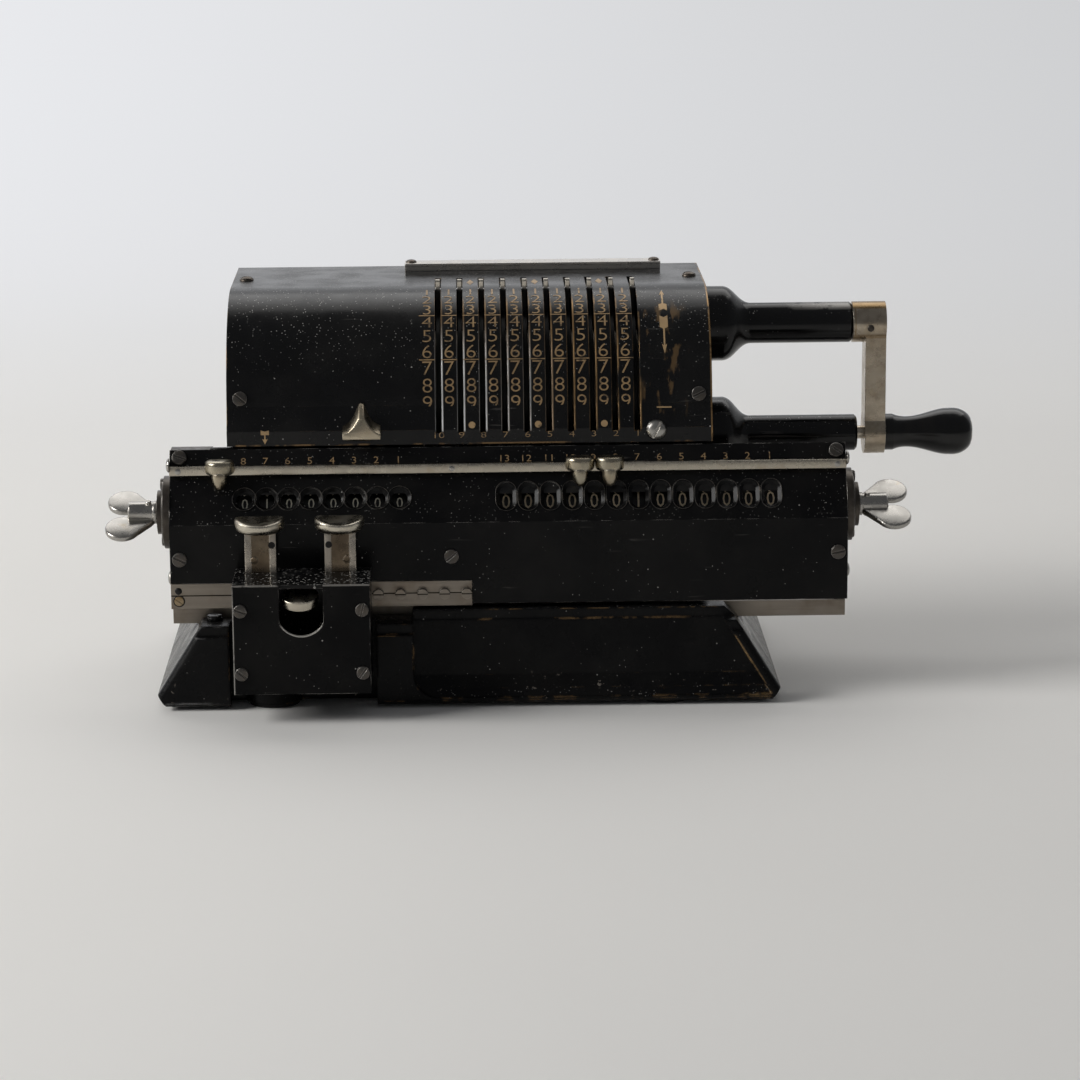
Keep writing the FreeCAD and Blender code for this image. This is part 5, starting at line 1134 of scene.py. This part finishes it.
def wing_nut(drop):
    """A butterfly nut along X from its inner face: hub, two paddles set below it and a cross pin."""
    mesh = bmesh.new()
    thick = in_mm(sizes().wing_thickness)
    for mirror in (1, -1):
        paddle = slab([(x, mirror * y) for x, y in paddle_outline()], thick)
        soften(paddle, thick * 0.36, 3, 40.0)
        merge(mesh, paddle, Matrix.Translation((0, 0, -thick / 2 - drop)))
    merge(mesh, turned(WING_HUB_PROFILE, 40), Matrix.Rotation(math.radians(90), 4, "Y"))
    merge(mesh, turned(WING_PIN_PROFILE, 20), Matrix.Translation((WING_PIN_PLACE, 0, 0)))
    return mesh


class WingNuts(bpy.types.Operator):
    """Butterfly nuts that clear the registers"""

    bl_idname = "calculator.wing_nuts"
    bl_label = "Wing nuts"

    def execute(self, context):
        tilt = Matrix.Rotation(math.radians(WING_TILT), 4, "X")
        for name, end, swing, drop in WING_NUTS:
            inner_x = span(f"{name}_wing_nut")[end].x
            turn = tilt @ Matrix.Rotation(math.radians(swing), 4, "Z")
            mesh = bmesh.new()
            merge(mesh, wing_nut(drop), Matrix.Translation((inner_x, DIAL_Y, DIAL_Z)) @ turn)
            piece(f"{name}_butterfly", mesh, ["wing"], f"{name}_register",
                  replaces=[f"{name}_wing_nut"])
        return {"FINISHED"}


KNOB_BASE = 2.5
KNOB_SHIFT = -0.5
KNOB_GAP = 0.1
KNOB_DEPTHS = (0.0, 0.45, 1.0)
KNOB_SHOULDER_RISE = 2.4
KNOB_CROWN_RISE = 4.6
KNOB_HALF = [(6.9, 0.0), (6.9, 1.9), (6.2, 2.1), (4.6, 2.9), (3.1, 4.4), (2.0, 6.1), (1.2, 7.4), (0.7, 7.9)]


def knob_ring(share):
    """The knob's outline at a share of its depth: its shoulders and its crown rise towards the cover."""
    low = span("zero_slide_knob")[0]
    y = low.y + (COVER_LOW.y - KNOB_GAP - low.y) * share
    rise = KNOB_SHOULDER_RISE * share
    crown = KNOB_CROWN_RISE * share
    top = KNOB_HALF[-1][1]
    right = [(x, z + (rise + (crown - rise) * (z / top) ** 2 if z else 0.0)) for x, z in KNOB_HALF]
    left = [(-x, z) for x, z in right[::-1]]
    centre = middle("zero_slide_knob").x + KNOB_SHIFT
    return [(centre + x, y, low.z + KNOB_BASE + z) for x, z in right + left]


class FinKnob(bpy.types.Operator):
    """The waisted knob with a rising fin, low on the cover"""

    bl_idname = "calculator.fin_knob"
    bl_label = "Fin knob"

    def execute(self, context):
        mesh = lofted([knob_ring(share) for share in KNOB_DEPTHS])
        soften(mesh, 0.3, 3, 38.0)
        piece("fin_knob", mesh, ["knob"], "zero_slide", 50.0, replaces=["zero_slide_knob"])
        return {"FINISHED"}


MARKER_HOOD = [(0, 87.5), (2.6, 87.5), (4.2, 87.35), (4.9, 87.0), (5.2, 86.4), (5.25, 85.6), (5.25, 83.6),
               (5.15, 82.9), (4.7, 82.4), (3.4, 82.2), (0, 82.2)]
MARKER_BULLET = [(0, 83.4), (2.2, 83.3), (2.7, 82.9), (2.8, 82.2), (2.8, 80.8), (2.6, 79.4), (2.15, 78.2),
                 (1.5, 77.3), (0.75, 76.75), (0, 76.6)]
MARKER_BACK = STRIP_LOW.y + 0.5
HOOD_SETBACK = 0.9
BULLET_DEPTH = 3.7
HOOK_HALF = 3.6
HOOK_DEPTH = 1.2
HOOK_CLEAR = 0.35
HOOK_DROP = 1.5


class DecimalMarkers(bpy.types.Operator):
    """Round hoods on the strip, each with a bullet that points at the digits"""

    bl_idname = "calculator.decimal_markers"
    bl_label = "Decimal markers"

    def execute(self, context):
        for name in ("left", "middle", "right"):
            low, high = span(f"decimal_marker_{name}")
            x = (low.x + high.x) / 2
            mesh = bmesh.new()
            hood = turned(MARKER_HOOD, 48)
            bmesh.ops.translate(hood, vec=(x, MARKER_BACK - HOOD_SETBACK, 0), verts=hood.verts)
            merge(mesh, trimmed(hood, (x, MARKER_BACK, 0), BACK))
            bullet_place = Matrix.Translation((x, MARKER_BACK - BULLET_DEPTH, 0))
            merge(mesh, turned(MARKER_BULLET, 32), bullet_place)
            hook = soft_block((x - HOOK_HALF, MARKER_BACK - HOOK_DEPTH, STRIP_HIGH.z + HOOK_CLEAR),
                              (x + HOOK_HALF, high.y, high.z - HOOK_DROP), 0.25)
            merge(mesh, hook)
            piece(f"marker_hood_{name}", mesh, ["hood"], f"marker_{name}", 40.0,
                  replaces=[f"decimal_marker_{name}"])
        return {"FINISHED"}


SHIFT_RADIUS = 9.0
SHIFT_THICK = 6.0
SHIFT_DISH = 1.6
SHIFT_LIFT = 1.0
SHIFT_RIM = [(0, 0), (2.2, 0), (4.2, 0), (5.8, 0), (7.2, 0), (8.0, -0.06), (8.55, -0.35), (8.9, -0.9),
             (9.0, -1.7), (9.0, -2.7), (8.85, -3.6), (8.4, -4.4), (7.6, -5.1), (6.4, -5.6), (5.0, -5.9),
             (0, -6.0)]
STEM_Y = -57.0
STEM_HALF = 5.6
STEM_DEPTH = 1.0
STEM_RECESS = 3.3
STEM_FLOOR = 0.45 - STEM_DEPTH
STEM_OUTLINE = [(-STEM_HALF, -STEM_DEPTH), (-STEM_RECESS, -STEM_DEPTH), (-STEM_RECESS, STEM_FLOOR),
                (STEM_RECESS, STEM_FLOOR), (STEM_RECESS, -STEM_DEPTH), (STEM_HALF, -STEM_DEPTH),
                (STEM_HALF, STEM_DEPTH), (-STEM_HALF, STEM_DEPTH)]
STEM_FACE = (0.4, 0.5)
HOLE_SHADE_RADIUS = 1.25
HOLE_SHADE_SHIFT = 4.1
HOLE_SHADE_Z = 59.2
RIVET_PROFILE = [(0, 0), (1.3, 0), (1.3, 0.3), (1.15, 0.45), (0, 0.5)]
RIVET_SHIFT = 2.3
RIVET_SINK = 0.35
RIVET_Z = 53.7


def dished_cap():
    """A round cap with a rolled rim and a trough along Y, its top at z 0."""
    mesh = turned(SHIFT_RIM, 56)
    for vert in mesh.verts:
        share = max(0.0, 1.0 - (vert.co.x / SHIFT_RADIUS) ** 2)
        weight = max(0.0, 1.0 + vert.co.z / 2.0)
        vert.co.z -= SHIFT_DISH * share * weight
    return mesh


class ShiftKeys(bpy.types.Operator):
    """Round dished caps on flat stems with a brown hollow face, a black disc painted as the shade of a hole,
    and a rivet
    """

    bl_idname = "calculator.shift_keys"
    bl_label = "Shift keys"

    def execute(self, context):
        front = STEM_Y - STEM_DEPTH
        for name, inward in (("left", 1), ("right", -1)):
            low, high = span(f"shift_key_{name}")
            x = (low.x + high.x) / 2
            stem_top = high.z - SHIFT_THICK
            mesh = bmesh.new()
            cap_place = Matrix.Translation((x, low.y + SHIFT_RADIUS, high.z + SHIFT_LIFT))
            merge(mesh, dished_cap(), cap_place, material=3)
            stem = slab(STEM_OUTLINE, stem_top + 1.0 - low.z)
            soften(stem, 0.12, 2, 60.0)
            merge(mesh, stem, Matrix.Translation((x, STEM_Y, low.z)))
            face = block((x - STEM_RECESS, front + STEM_FACE[0], low.z + 1.0),
                         (x + STEM_RECESS, front + STEM_FACE[1], stem_top))
            merge(mesh, face, material=1)
            # painted shade: a thin black disc where a hole shows dark
            hole_shade_place = along((x + inward * HOLE_SHADE_SHIFT, front, HOLE_SHADE_Z), FRONT)
            merge(mesh, disc(HOLE_SHADE_RADIUS, 0.06, 24), hole_shade_place, material=2)
            rivet_place = along((x - inward * RIVET_SHIFT, front + RIVET_SINK, RIVET_Z), FRONT)
            merge(mesh, turned(RIVET_PROFILE, 24), rivet_place, material=1)
            piece(f"shift_key_{name}_dressed", mesh, ["nickel", "stem", "drum", "cap"], f"key_shift_{name}",
                  40.0, replaces=[f"shift_key_{name}"])
        return {"FINISHED"}


RELEASE_RADIUS = 6.7
RELEASE_THICK = 3.3
RELEASE_TILT = 16.0
RELEASE_Y = -74.8
RELEASE_TOP = 45.0
RELEASE_NECK = 4.5
RELEASE_ROOT = 5.6
RELEASE_STEPS = 30
RELEASE_LEVER_HALF = 4.25
RELEASE_LEVER_START = 2.0
RELEASE_LEVER_DROP = (2.4, 0.4)


class ReleaseKey(bpy.types.Operator):
    """The tilted round key in the panel's notch, with its flat lever"""

    bl_idname = "calculator.release_key"
    bl_label = "Release key"

    def execute(self, context):
        low, high = span("release_key")
        x = (low.x + high.x) / 2
        neck_angle = math.degrees(math.asin(RELEASE_NECK / RELEASE_RADIUS))
        sweep = 360 - 2 * neck_angle
        turns = [90 + neck_angle + sweep * step / RELEASE_STEPS for step in range(RELEASE_STEPS + 1)]
        outline = [arc_point(RELEASE_RADIUS, turn) for turn in turns]
        outline += [(RELEASE_NECK, RELEASE_ROOT), (-RELEASE_NECK, RELEASE_ROOT)]
        cap = slab(outline, RELEASE_THICK)
        soften(cap, 0.8, 4, 40.0)
        mesh = bmesh.new()
        tilt = Matrix.Rotation(math.radians(RELEASE_TILT), 4, "X")
        place = Matrix.Translation((x, RELEASE_Y, RELEASE_TOP)) @ tilt
        merge(mesh, cap, place @ Matrix.Translation((0, 0, -RELEASE_THICK)))
        deep, shallow = RELEASE_LEVER_DROP
        lever = soft_block((x - RELEASE_LEVER_HALF, RELEASE_Y + RELEASE_LEVER_START, RELEASE_TOP - deep),
                           (x + RELEASE_LEVER_HALF, high.y, RELEASE_TOP - shallow), 0.3)
        merge(mesh, lever)
        piece("release_paddle", mesh, ["cap"], "key_release", 40.0, replaces=["release_key"])
        return {"FINISHED"}


FACE_SLOPE_BACK_Y = -39.8
WINDOW_Z = 73.35
WINDOW_MIDDLE = Vector((0, (FACE_LOW.y + FACE_SLOPE_BACK_Y) / 2, WINDOW_Z))
WINDOW_UP = Vector((0, FACE_RISE, FACE_RUN))
WINDOW_FLARE = 2.7
WINDOWS = (
    # places of the dials, width and height of a window, foot of its black shade sheet above its middle
    (RESULT_XS, 4.6, 8.3, 1.35),
    (COUNTER_XS, 5.8, 5.8, 1.9),
)
RIM_SECTION = ((0.45, -0.05), (0.4, 0.1), (0.2, 0.16), (0.0, 0.1), (-0.05, -0.05))
# a black sheet behind each window's upper part, painted shade that hides the dial there
SHADE_SHEET_DEPTH = 1.05
SHADE_SHEET_THICK = 0.35
SHADE_SHEET_OVERLAP = 0.1
STRIP_PROUD = 0.1
STRIP_RAISED = 0.4
LIP_LOW = (FACE_LOW.x + 14.6, SLOPE_TOP.y + 0.1, FACE_HIGH.z - 1.2)
LIP_HIGH = (COVER_LOW.x + 2.4, -34.5, FACE_HIGH.z + 0.5)


def stadium(width, height, steps=12):
    """A round-ended outline, upright, round its middle."""
    radius = width / 2
    arc = [arc_point(radius, 180.0 * step / steps) for step in range(steps + 1)]
    top = [(x, height / 2 - radius + y) for x, y in arc]
    return top + [(-x, -y) for x, y in top]


def window_rim(width, height):
    """A low ring round a window, closed through its section."""
    mesh = bmesh.new()
    rings = []
    for grow, rise in RIM_SECTION:
        verts = [mesh.verts.new((x, y, rise)) for x, y in stadium(width + grow, height + grow)]
        rings.append([mesh.edges.new(pair) for pair in zip(verts, verts[1:] + verts[:1])])
    for near, far in zip(rings, rings[1:] + rings[:1]):
        bmesh.ops.bridge_loops(mesh, edges=near + far)
    return mesh


class WindowDetails(bpy.types.Operator):
    """A raised rim round each window with a black sheet across its top as painted shade, the bevelled marker
    strip and a low lip
    """

    bl_idname = "calculator.window_details"
    bl_label = "Window details"

    def execute(self, context):
        rims = bmesh.new()
        shade_sheets = bmesh.new()
        for xs, width, height, shade_sheet_foot in WINDOWS:
            reach = width / 2 + SHADE_SHEET_OVERLAP
            for x in xs:
                place = frame_at(WINDOW_MIDDLE + Vector((x, 0, 0)), RIGHT, WINDOW_UP)
                merge(rims, window_rim(width + WINDOW_FLARE, height + WINDOW_FLARE), place)
                # painted shade: a black sheet across the window's upper part, where the dial lies in shade
                shade_sheet = soft_block((-reach, shade_sheet_foot, -SHADE_SHEET_DEPTH - SHADE_SHEET_THICK),
                                 (reach, height / 2 + SHADE_SHEET_OVERLAP, -SHADE_SHEET_DEPTH), 0.12)
                merge(shade_sheets, shade_sheet, place)
        piece("window_rims", rims, ["rim"], "carriage", 60.0)
        piece("window_shade_sheets", shade_sheets, ["drum"], "carriage")
        strip = soft_block((STRIP_LOW.x, STRIP_LOW.y - STRIP_PROUD, STRIP_LOW.z),
                           (STRIP_HIGH.x, STRIP_HIGH.y, STRIP_HIGH.z + STRIP_RAISED), 0.35, 3)
        piece("bevelled_strip", strip, ["strip"], "carriage", replaces=["marker_strip"])
        piece("shelf_lip", soft_block(LIP_LOW, LIP_HIGH, 0.2), ["plate"], "carriage")
        return {"FINISHED"}


GRIP_END_X = 183.0
GRIP_TIP = [(0, 183.0), (8.0, 183.0), (8.86, 183.7), (8.9, 184.6), (8.88, 185.8), (8.65, 187.2), (8.2, 188.5),
            (7.5, 189.8), (6.5, 191.0), (5.4, 191.8), (4.4, 192.1), (0, 192.1)]
HUB_PIN_X = 152.7
HUB_PIN_DROP = 9.0


class GripTip(bpy.types.Operator):
    """The grip's rounded end over its spindle, and the pin through the crank's hub"""

    bl_idname = "calculator.grip_tip"
    bl_label = "Grip tip"

    def execute(self, context):
        spindle = middle("crank_lock_spindle")
        tip = turned([(radius, x - GRIP_END_X) for radius, x in GRIP_TIP], 64)
        mesh = bmesh.new()
        merge(mesh, tip, along((GRIP_END_X, spindle.y, spindle.z), RIGHT))
        piece("grip_tip", mesh, ["lacquer"], "crank_handle")
        pin = bmesh.new()
        add_head(pin, DOME, 1.3, 0.5, (HUB_PIN_X, ARM_LOW.y, ARM_HIGH.z - HUB_PIN_DROP), FRONT, steps=24)
        piece("hub_pin", pin, ["end_steel"], "crank")
        return {"FINISHED"}


COVER_SCREW_XS = (COVER_LOW.x + 4.9, COVER_HIGH.x - 4.9)
COVER_SCREW_ANGLE = 8.5
COVER_SCREW_TURNS = (-40.0, 25.0)
TOP_SCREW_Y = 27.0
REAR_SCREW_LOW_Z = 36.0
REAR_SCREW_DROP = 9.6
REAR_SCREW_SINK = 0.25
PANEL_SCREW_INSET = 2.8
PANEL_SCREW_DROP = 9.0
PANEL_SCREW_RISE = 7.6
PANEL_SCREW_TURNS = (-20.0, -38.0, 75.0, 55.0)
RAIL_SCREW_XS = (-20.3, 72.2)
RAIL_SCREW_Y = 47.5
FACE_SCREW_INSET = 3.5
FACE_SCREW_Z = 52.4
SLOPE_SCREW_OUT = (0, -0.860, 0.510)


class SlottedScrews(bpy.types.Operator):
    """Slotted screws of the cover, the rear, the panel and the carriage"""

    bl_idname = "calculator.slotted_screws"
    bl_label = "Slotted screws"

    def execute(self, context):
        mesh = bmesh.new()
        self.cover_and_rear(mesh)
        self.panel(mesh)
        self.top(mesh)
        piece("slotted_frame_screws", mesh, ["screw", "cover_screw"], "frame",
              replaces=["frame_screws"])
        piece("slotted_carriage_screws", self.carriage(), ["screw"], "carriage",
              replaces=["carriage_screws"])
        return {"FINISHED"}

    def flat(self, mesh, radius, place, out, turn):
        add_head(mesh, CHEESE, radius, 1.15, place, out, turn, slot=(0.75, 0.35))

    def cover_and_rear(self, mesh):
        arc = math.radians(COVER_SCREW_ANGLE)
        out = Vector((0, -math.cos(arc), math.sin(arc)))
        front = Vector((0, ROTOR_Y, COVER_ARC_Z)) + out * COVER_RADIUS
        for x, turn in zip(COVER_SCREW_XS, COVER_SCREW_TURNS):
            self.flat(mesh, 2.65, (x, front.y, front.z), out, turn)
        back = span("rear_cover")[1]
        for x in COVER_SCREW_XS:
            for z in (REAR_SCREW_LOW_Z, back.z - REAR_SCREW_DROP):
                self.flat(mesh, 2.6, (x, back.y - REAR_SCREW_SINK, z), BACK, 30.0 + x)

    def panel(self, mesh):
        xs = (PANEL_LOW.x + PANEL_SCREW_INSET, PANEL_HIGH.x - PANEL_SCREW_INSET)
        zs = (PANEL_HIGH.z - PANEL_SCREW_DROP, PANEL_LOW.z + PANEL_SCREW_RISE)
        places = [(x, PANEL_LOW.y, z) for x in xs for z in zs]
        for place, turn in zip(places, PANEL_SCREW_TURNS):
            self.flat(mesh, 2.4, place, FRONT, turn)

    def top(self, mesh):
        """Domed heads on top of the cover and on the setting rail."""
        for x in COVER_SCREW_XS:
            place = (x, TOP_SCREW_Y, COVER_HIGH.z)
            add_head(mesh, DOME, 2.7, 1.5, place, UP, 20.0, slot=(0.75, 0.9), material=1)
        rail_top = span("setting_rail")[1].z
        for x in RAIL_SCREW_XS:
            add_head(mesh, DOME, 2.1, 1.05, (x, RAIL_SCREW_Y, rail_top), UP, slot=(0.6, 0.7), material=1)

    def carriage(self):
        mesh = bmesh.new()
        left = FACE_LOW.x + FACE_SCREW_INSET
        right = FACE_HIGH.x - FACE_SCREW_INSET
        for x, turn in ((left, -25.0), (CENTRE_X, 40.0), (right, 12.0)):
            self.flat(mesh, 2.65, (x, FACE_LOW.y, FACE_SCREW_Z), FRONT, turn)
        slope = (SLOPE_FOOT + SLOPE_TOP) / 2
        for x, turn in ((left, -20.0), (right, -35.0)):
            self.flat(mesh, 2.65, (x, slope.y, slope.z), SLOPE_SCREW_OUT, turn)
        return mesh


COVER_DOME_X = 68.8
COVER_DOME_RISE = 4.5
STRIP_DOME_XS = (FACE_LOW.x + 3.2, CENTRE_X + 0.5, FACE_HIGH.x - 3.2)
STRIP_DOME_RISE = 1.7
STRIP_DOME_SINK = 0.7
END_FLANGE = 2.4
END_HEAD_REACH = 10.3
END_RING = [(0, 0), (11.9, 0), (11.9, 0.5), (11.3, 0.7), (0, 0.7)]
END_DOMES = ((-41.5, 85.4), (-46.0, 44.9))
RACK_HOLE_X = RACK_LOW.x + 2.7
RACK_HOLE_Z = 40.6
RACK_SCREW_SHIFT = 0.2
RACK_SCREW_Z = 36.9
RACK_FACE_DEPTH = 1.5
LEDGE_SCREW_PLACE = (-92.0, -48.2, 29.5)


class SmallFasteners(bpy.types.Operator):
    """Domed and slotted heads on the cover, the strip, the carriage's ends, the rack and the base"""

    bl_idname = "calculator.small_fasteners"
    bl_label = "Small fasteners"

    def execute(self, context):
        dome = bmesh.new()
        place = (COVER_DOME_X, COVER_LOW.y, COVER_LOW.z + COVER_DOME_RISE)
        add_head(dome, DOME, 3.8, 2.3, place, FRONT, 62.0, slot=(0.9, 1.3))
        piece("cover_dome_screw", dome, ["wing"], "frame")
        domes = bmesh.new()
        for x in STRIP_DOME_XS:
            place = (x, STRIP_LOW.y + STRIP_DOME_SINK, STRIP_LOW.z + STRIP_DOME_RISE)
            add_head(domes, DOME, 1.65, 1.0, place, FRONT, steps=28)
        piece("strip_domes", domes, ["wing"], "carriage")
        piece("end_heads", self.end_heads(), ["end_steel", "wing"], "carriage")
        piece("rack_heads", self.rack_heads(), ["rack_brass", "drum"], "carriage")
        ledge = bmesh.new()
        add_head(ledge, CHEESE, 2.9, 2.0, LEDGE_SCREW_PLACE, UP, -28.0, slot=(0.8, 1.1), steps=36)
        piece("ledge_screw", ledge, ["sleeve"], "frame")
        return {"FINISHED"}

    def end_heads(self):
        """A disc with two dark heads on each end flange, and a dome above and below it."""
        mesh = bmesh.new()
        for face_x, way in ((FACE_LOW.x, -1), (FACE_HIGH.x, 1)):
            x = face_x + way * END_FLANGE
            out = (way, 0, 0)
            for z in (DIAL_Z - END_HEAD_REACH, DIAL_Z + END_HEAD_REACH):
                add_head(mesh, CHEESE, 2.2, 1.5, (x, DIAL_Y, z), out, 30.0, slot=(0.7, 0.7), steps=28)
            merge(mesh, turned(END_RING, 64), along((x, DIAL_Y, DIAL_Z), out))
            for y, z in END_DOMES:
                add_head(mesh, DOME, 2.6, 1.1, (face_x, y, z), out, steps=28, material=1)
        return mesh

    def rack_heads(self):
        """A dark dome painted as the shade of a hole, and a brassy screw on a thin dark disc, at the rack's
        left end.
        """
        mesh = bmesh.new()
        front = RACK_HIGH.y - RACK_FACE_DEPTH
        # painted shade: a black dome where a hole shows dark
        add_head(mesh, DOME, 1.3, 0.5, (RACK_HOLE_X, front, RACK_HOLE_Z), FRONT, steps=24, material=1)
        place = (RACK_HOLE_X + RACK_SCREW_SHIFT, front, RACK_SCREW_Z)
        merge(mesh, disc(2.15, 0.05, 32), along(place, FRONT), material=1)
        add_head(mesh, CHEESE, 1.75, 0.3, place, FRONT, -35.0, slot=(0.55, 0.08), steps=32)
        return mesh


class Stage(bpy.types.Operator):
    """Floor, backdrop, lamps and camera"""

    bl_idname = "calculator.stage"
    bl_label = "Stage"

    def execute(self, context):
        make_floor()
        make_lamps()
        make_camera()
        return {"FINISHED"}


FLOOR_HALF = 3000.0
BACK_WALL = 1500.0
WALL_TOP = 2500.0
SWEEP = 600.0


def make_floor():
    """One sheet that lies under the object and sweeps up behind it."""
    mesh = bmesh.new()
    line = [(-FLOOR_HALF, 0.0), (BACK_WALL - SWEEP, 0.0)]
    sweep = [arc_point(SWEEP, angle) for angle in range(-80, 10, 10)]
    line += [(BACK_WALL - SWEEP + y, SWEEP + z) for y, z in sweep]
    line.append((BACK_WALL, WALL_TOP))
    floor_z = span("rubber_feet")[0].z
    verts = [mesh.verts.new((-FLOOR_HALF, y, z + floor_z)) for y, z in line]
    edges = [mesh.edges.new(pair) for pair in zip(verts, verts[1:])]
    grown = bmesh.ops.extrude_edge_only(mesh, edges=edges)["geom"]
    bmesh.ops.translate(mesh, vec=(2 * FLOOR_HALF, 0, 0), verts=verts_of(grown))
    bmesh.ops.scale(mesh, vec=(MM, MM, MM), verts=mesh.verts)
    for face in mesh.faces:
        face.smooth = True
    data = bpy.data.meshes.new("floor")
    mesh.to_mesh(data)
    mesh.free()
    data.materials.append(floor_finish())
    floor = bpy.data.objects.new("floor", data)
    bpy.context.scene.collection.objects.link(floor)


def floor_finish():
    """Pale paper: it takes light and shadow, and further back it shows a plain tone that darkens from left to
    right as painted shade.
    """
    finish = Finish("pale_paper", specular=0.2)
    grey = finish.ramp(finish.noise(400.0, 2.0), 0.3, 0.7)
    base = finish.mix(grey, colours().floor, [c * 0.97 for c in colours().floor])
    finish.done(base, 0.6)
    glow = finish.add("ShaderNodeEmission")
    # painted shade: the backdrop's tone darkens towards the right
    across = finish.ramp(finish.x, -0.75, 0.75)
    tone = finish.mix(across, colours().backdrop_left, colours().backdrop_right)
    finish.put(tone, glow.inputs["Color"])
    rays = finish.add("ShaderNodeLightPath").outputs
    seen = finish.most(rays["Is Camera Ray"], rays["Is Glossy Ray"], rays["Is Transmission Ray"])
    back = finish.ramp(finish.y, 0.15, 1.25)
    blend = finish.add("ShaderNodeMixShader")
    finish.put(finish.product(seen, back), blend.inputs[0])
    finish.links.new(finish.skin.outputs["BSDF"], blend.inputs[1])
    finish.links.new(glow.outputs[0], blend.inputs[2])
    finish.links.new(blend.outputs[0], finish.output.inputs["Surface"])
    return finish.material


LAMPS = {
    # name: (place in m, aim in m, width in m, height in m, watts, colour)
    "window_light": ((-1.5, -0.4, 0.95), (0.0, 0.0, 0.05), 0.9, 0.9, 24.0, (1.0, 0.99, 0.97)),
    "sky_light": ((0.1, 0.95, 1.4), (0.0, 0.0, 0.05), 2.4, 1.0, 11.0, (1.0, 0.985, 0.96)),
}
ROOM_LIGHT = 0.15


def make_lamps():
    for name, (place, aim, width, height, watts, tint) in LAMPS.items():
        lamp = bpy.data.lights.new(name, "AREA")
        lamp.shape = "RECTANGLE"
        lamp.size = width
        lamp.size_y = height
        lamp.energy = watts
        lamp.color = tint
        holder = bpy.data.objects.new(name, lamp)
        holder.location = place
        holder.rotation_mode = "QUATERNION"
        holder.rotation_quaternion = (Vector(aim) - Vector(place)).to_track_quat("-Z", "Y")
        bpy.context.scene.collection.objects.link(holder)
    world = bpy.data.worlds.new("room")
    world.use_nodes = True
    world.node_tree.nodes["Background"].inputs["Color"].default_value = (0.94, 0.96, 1.0, 1.0)
    world.node_tree.nodes["Background"].inputs["Strength"].default_value = ROOM_LIGHT
    bpy.context.scene.world = world
    bpy.context.scene.view_settings.view_transform = "Standard"


CAMERA_PLACE = Vector((0.0001, -1.3181, 0.3469))
CAMERA_RIGHT = Vector((0.9997, -0.0222, -0.0078))
CAMERA_UP = Vector((0.0125, 0.2218, 0.9750))
CAMERA_LENS = 120.18
CAMERA_SENSOR = 36.0


def make_camera():
    """The viewpoint of the photograph, for a square frame."""
    data = bpy.data.cameras.new("viewpoint")
    data.lens = CAMERA_LENS
    data.sensor_width = CAMERA_SENSOR
    data.clip_start = 0.05
    data.clip_end = 20.0
    camera = bpy.data.objects.new("viewpoint", data)
    bpy.context.scene.collection.objects.link(camera)
    back = CAMERA_RIGHT.cross(CAMERA_UP).normalized()
    up = back.cross(CAMERA_RIGHT).normalized()
    turn = Matrix((CAMERA_RIGHT.normalized(), up, back)).transposed().to_4x4()
    camera.matrix_world = Matrix.Translation(CAMERA_PLACE) @ turn
    bpy.context.scene.camera = camera


class CalculatorPanel(bpy.types.Panel):
    """Lists the steps that dress the calculator"""

    bl_idname = "VIEW3D_PT_calculator"
    bl_label = "Calculator"
    bl_space_type = "VIEW_3D"
    bl_region_type = "UI"
    bl_category = "Calculator"

    def draw(self, context):
        for operator in OPERATORS:
            self.layout.operator(operator.bl_idname)
        for group in (context.scene.calculator_sizes, context.scene.calculator_colours):
            for key in group.bl_rna.properties.keys():
                if key not in ("rna_type", "name"):
                    self.layout.prop(group, key)


OPERATORS = (FinishNodes, CoverNumerals, CoverMarks, PlaceNumbers, DialDigits, WingNuts, FinKnob,
             DecimalMarkers, ShiftKeys, ReleaseKey, WindowDetails, GripTip, SlottedScrews, SmallFasteners,
             Stage)
CLASSES = (CalculatorSizes, CalculatorColours, *OPERATORS, CalculatorPanel)


def register():
    for cls in CLASSES:
        bpy.utils.register_class(cls)
    bpy.types.Scene.calculator_sizes = PointerProperty(type=CalculatorSizes)
    bpy.types.Scene.calculator_colours = PointerProperty(type=CalculatorColours)


def unregister():
    del bpy.types.Scene.calculator_colours
    del bpy.types.Scene.calculator_sizes
    for cls in reversed(CLASSES):
        bpy.utils.unregister_class(cls)


def main():
    """Register the steps and run them in order."""
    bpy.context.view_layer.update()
    register()
    for operator in OPERATORS:
        group, name = operator.bl_idname.split(".")
        getattr(getattr(bpy.ops, group), name)()


if __name__ == "__main__":
    main()
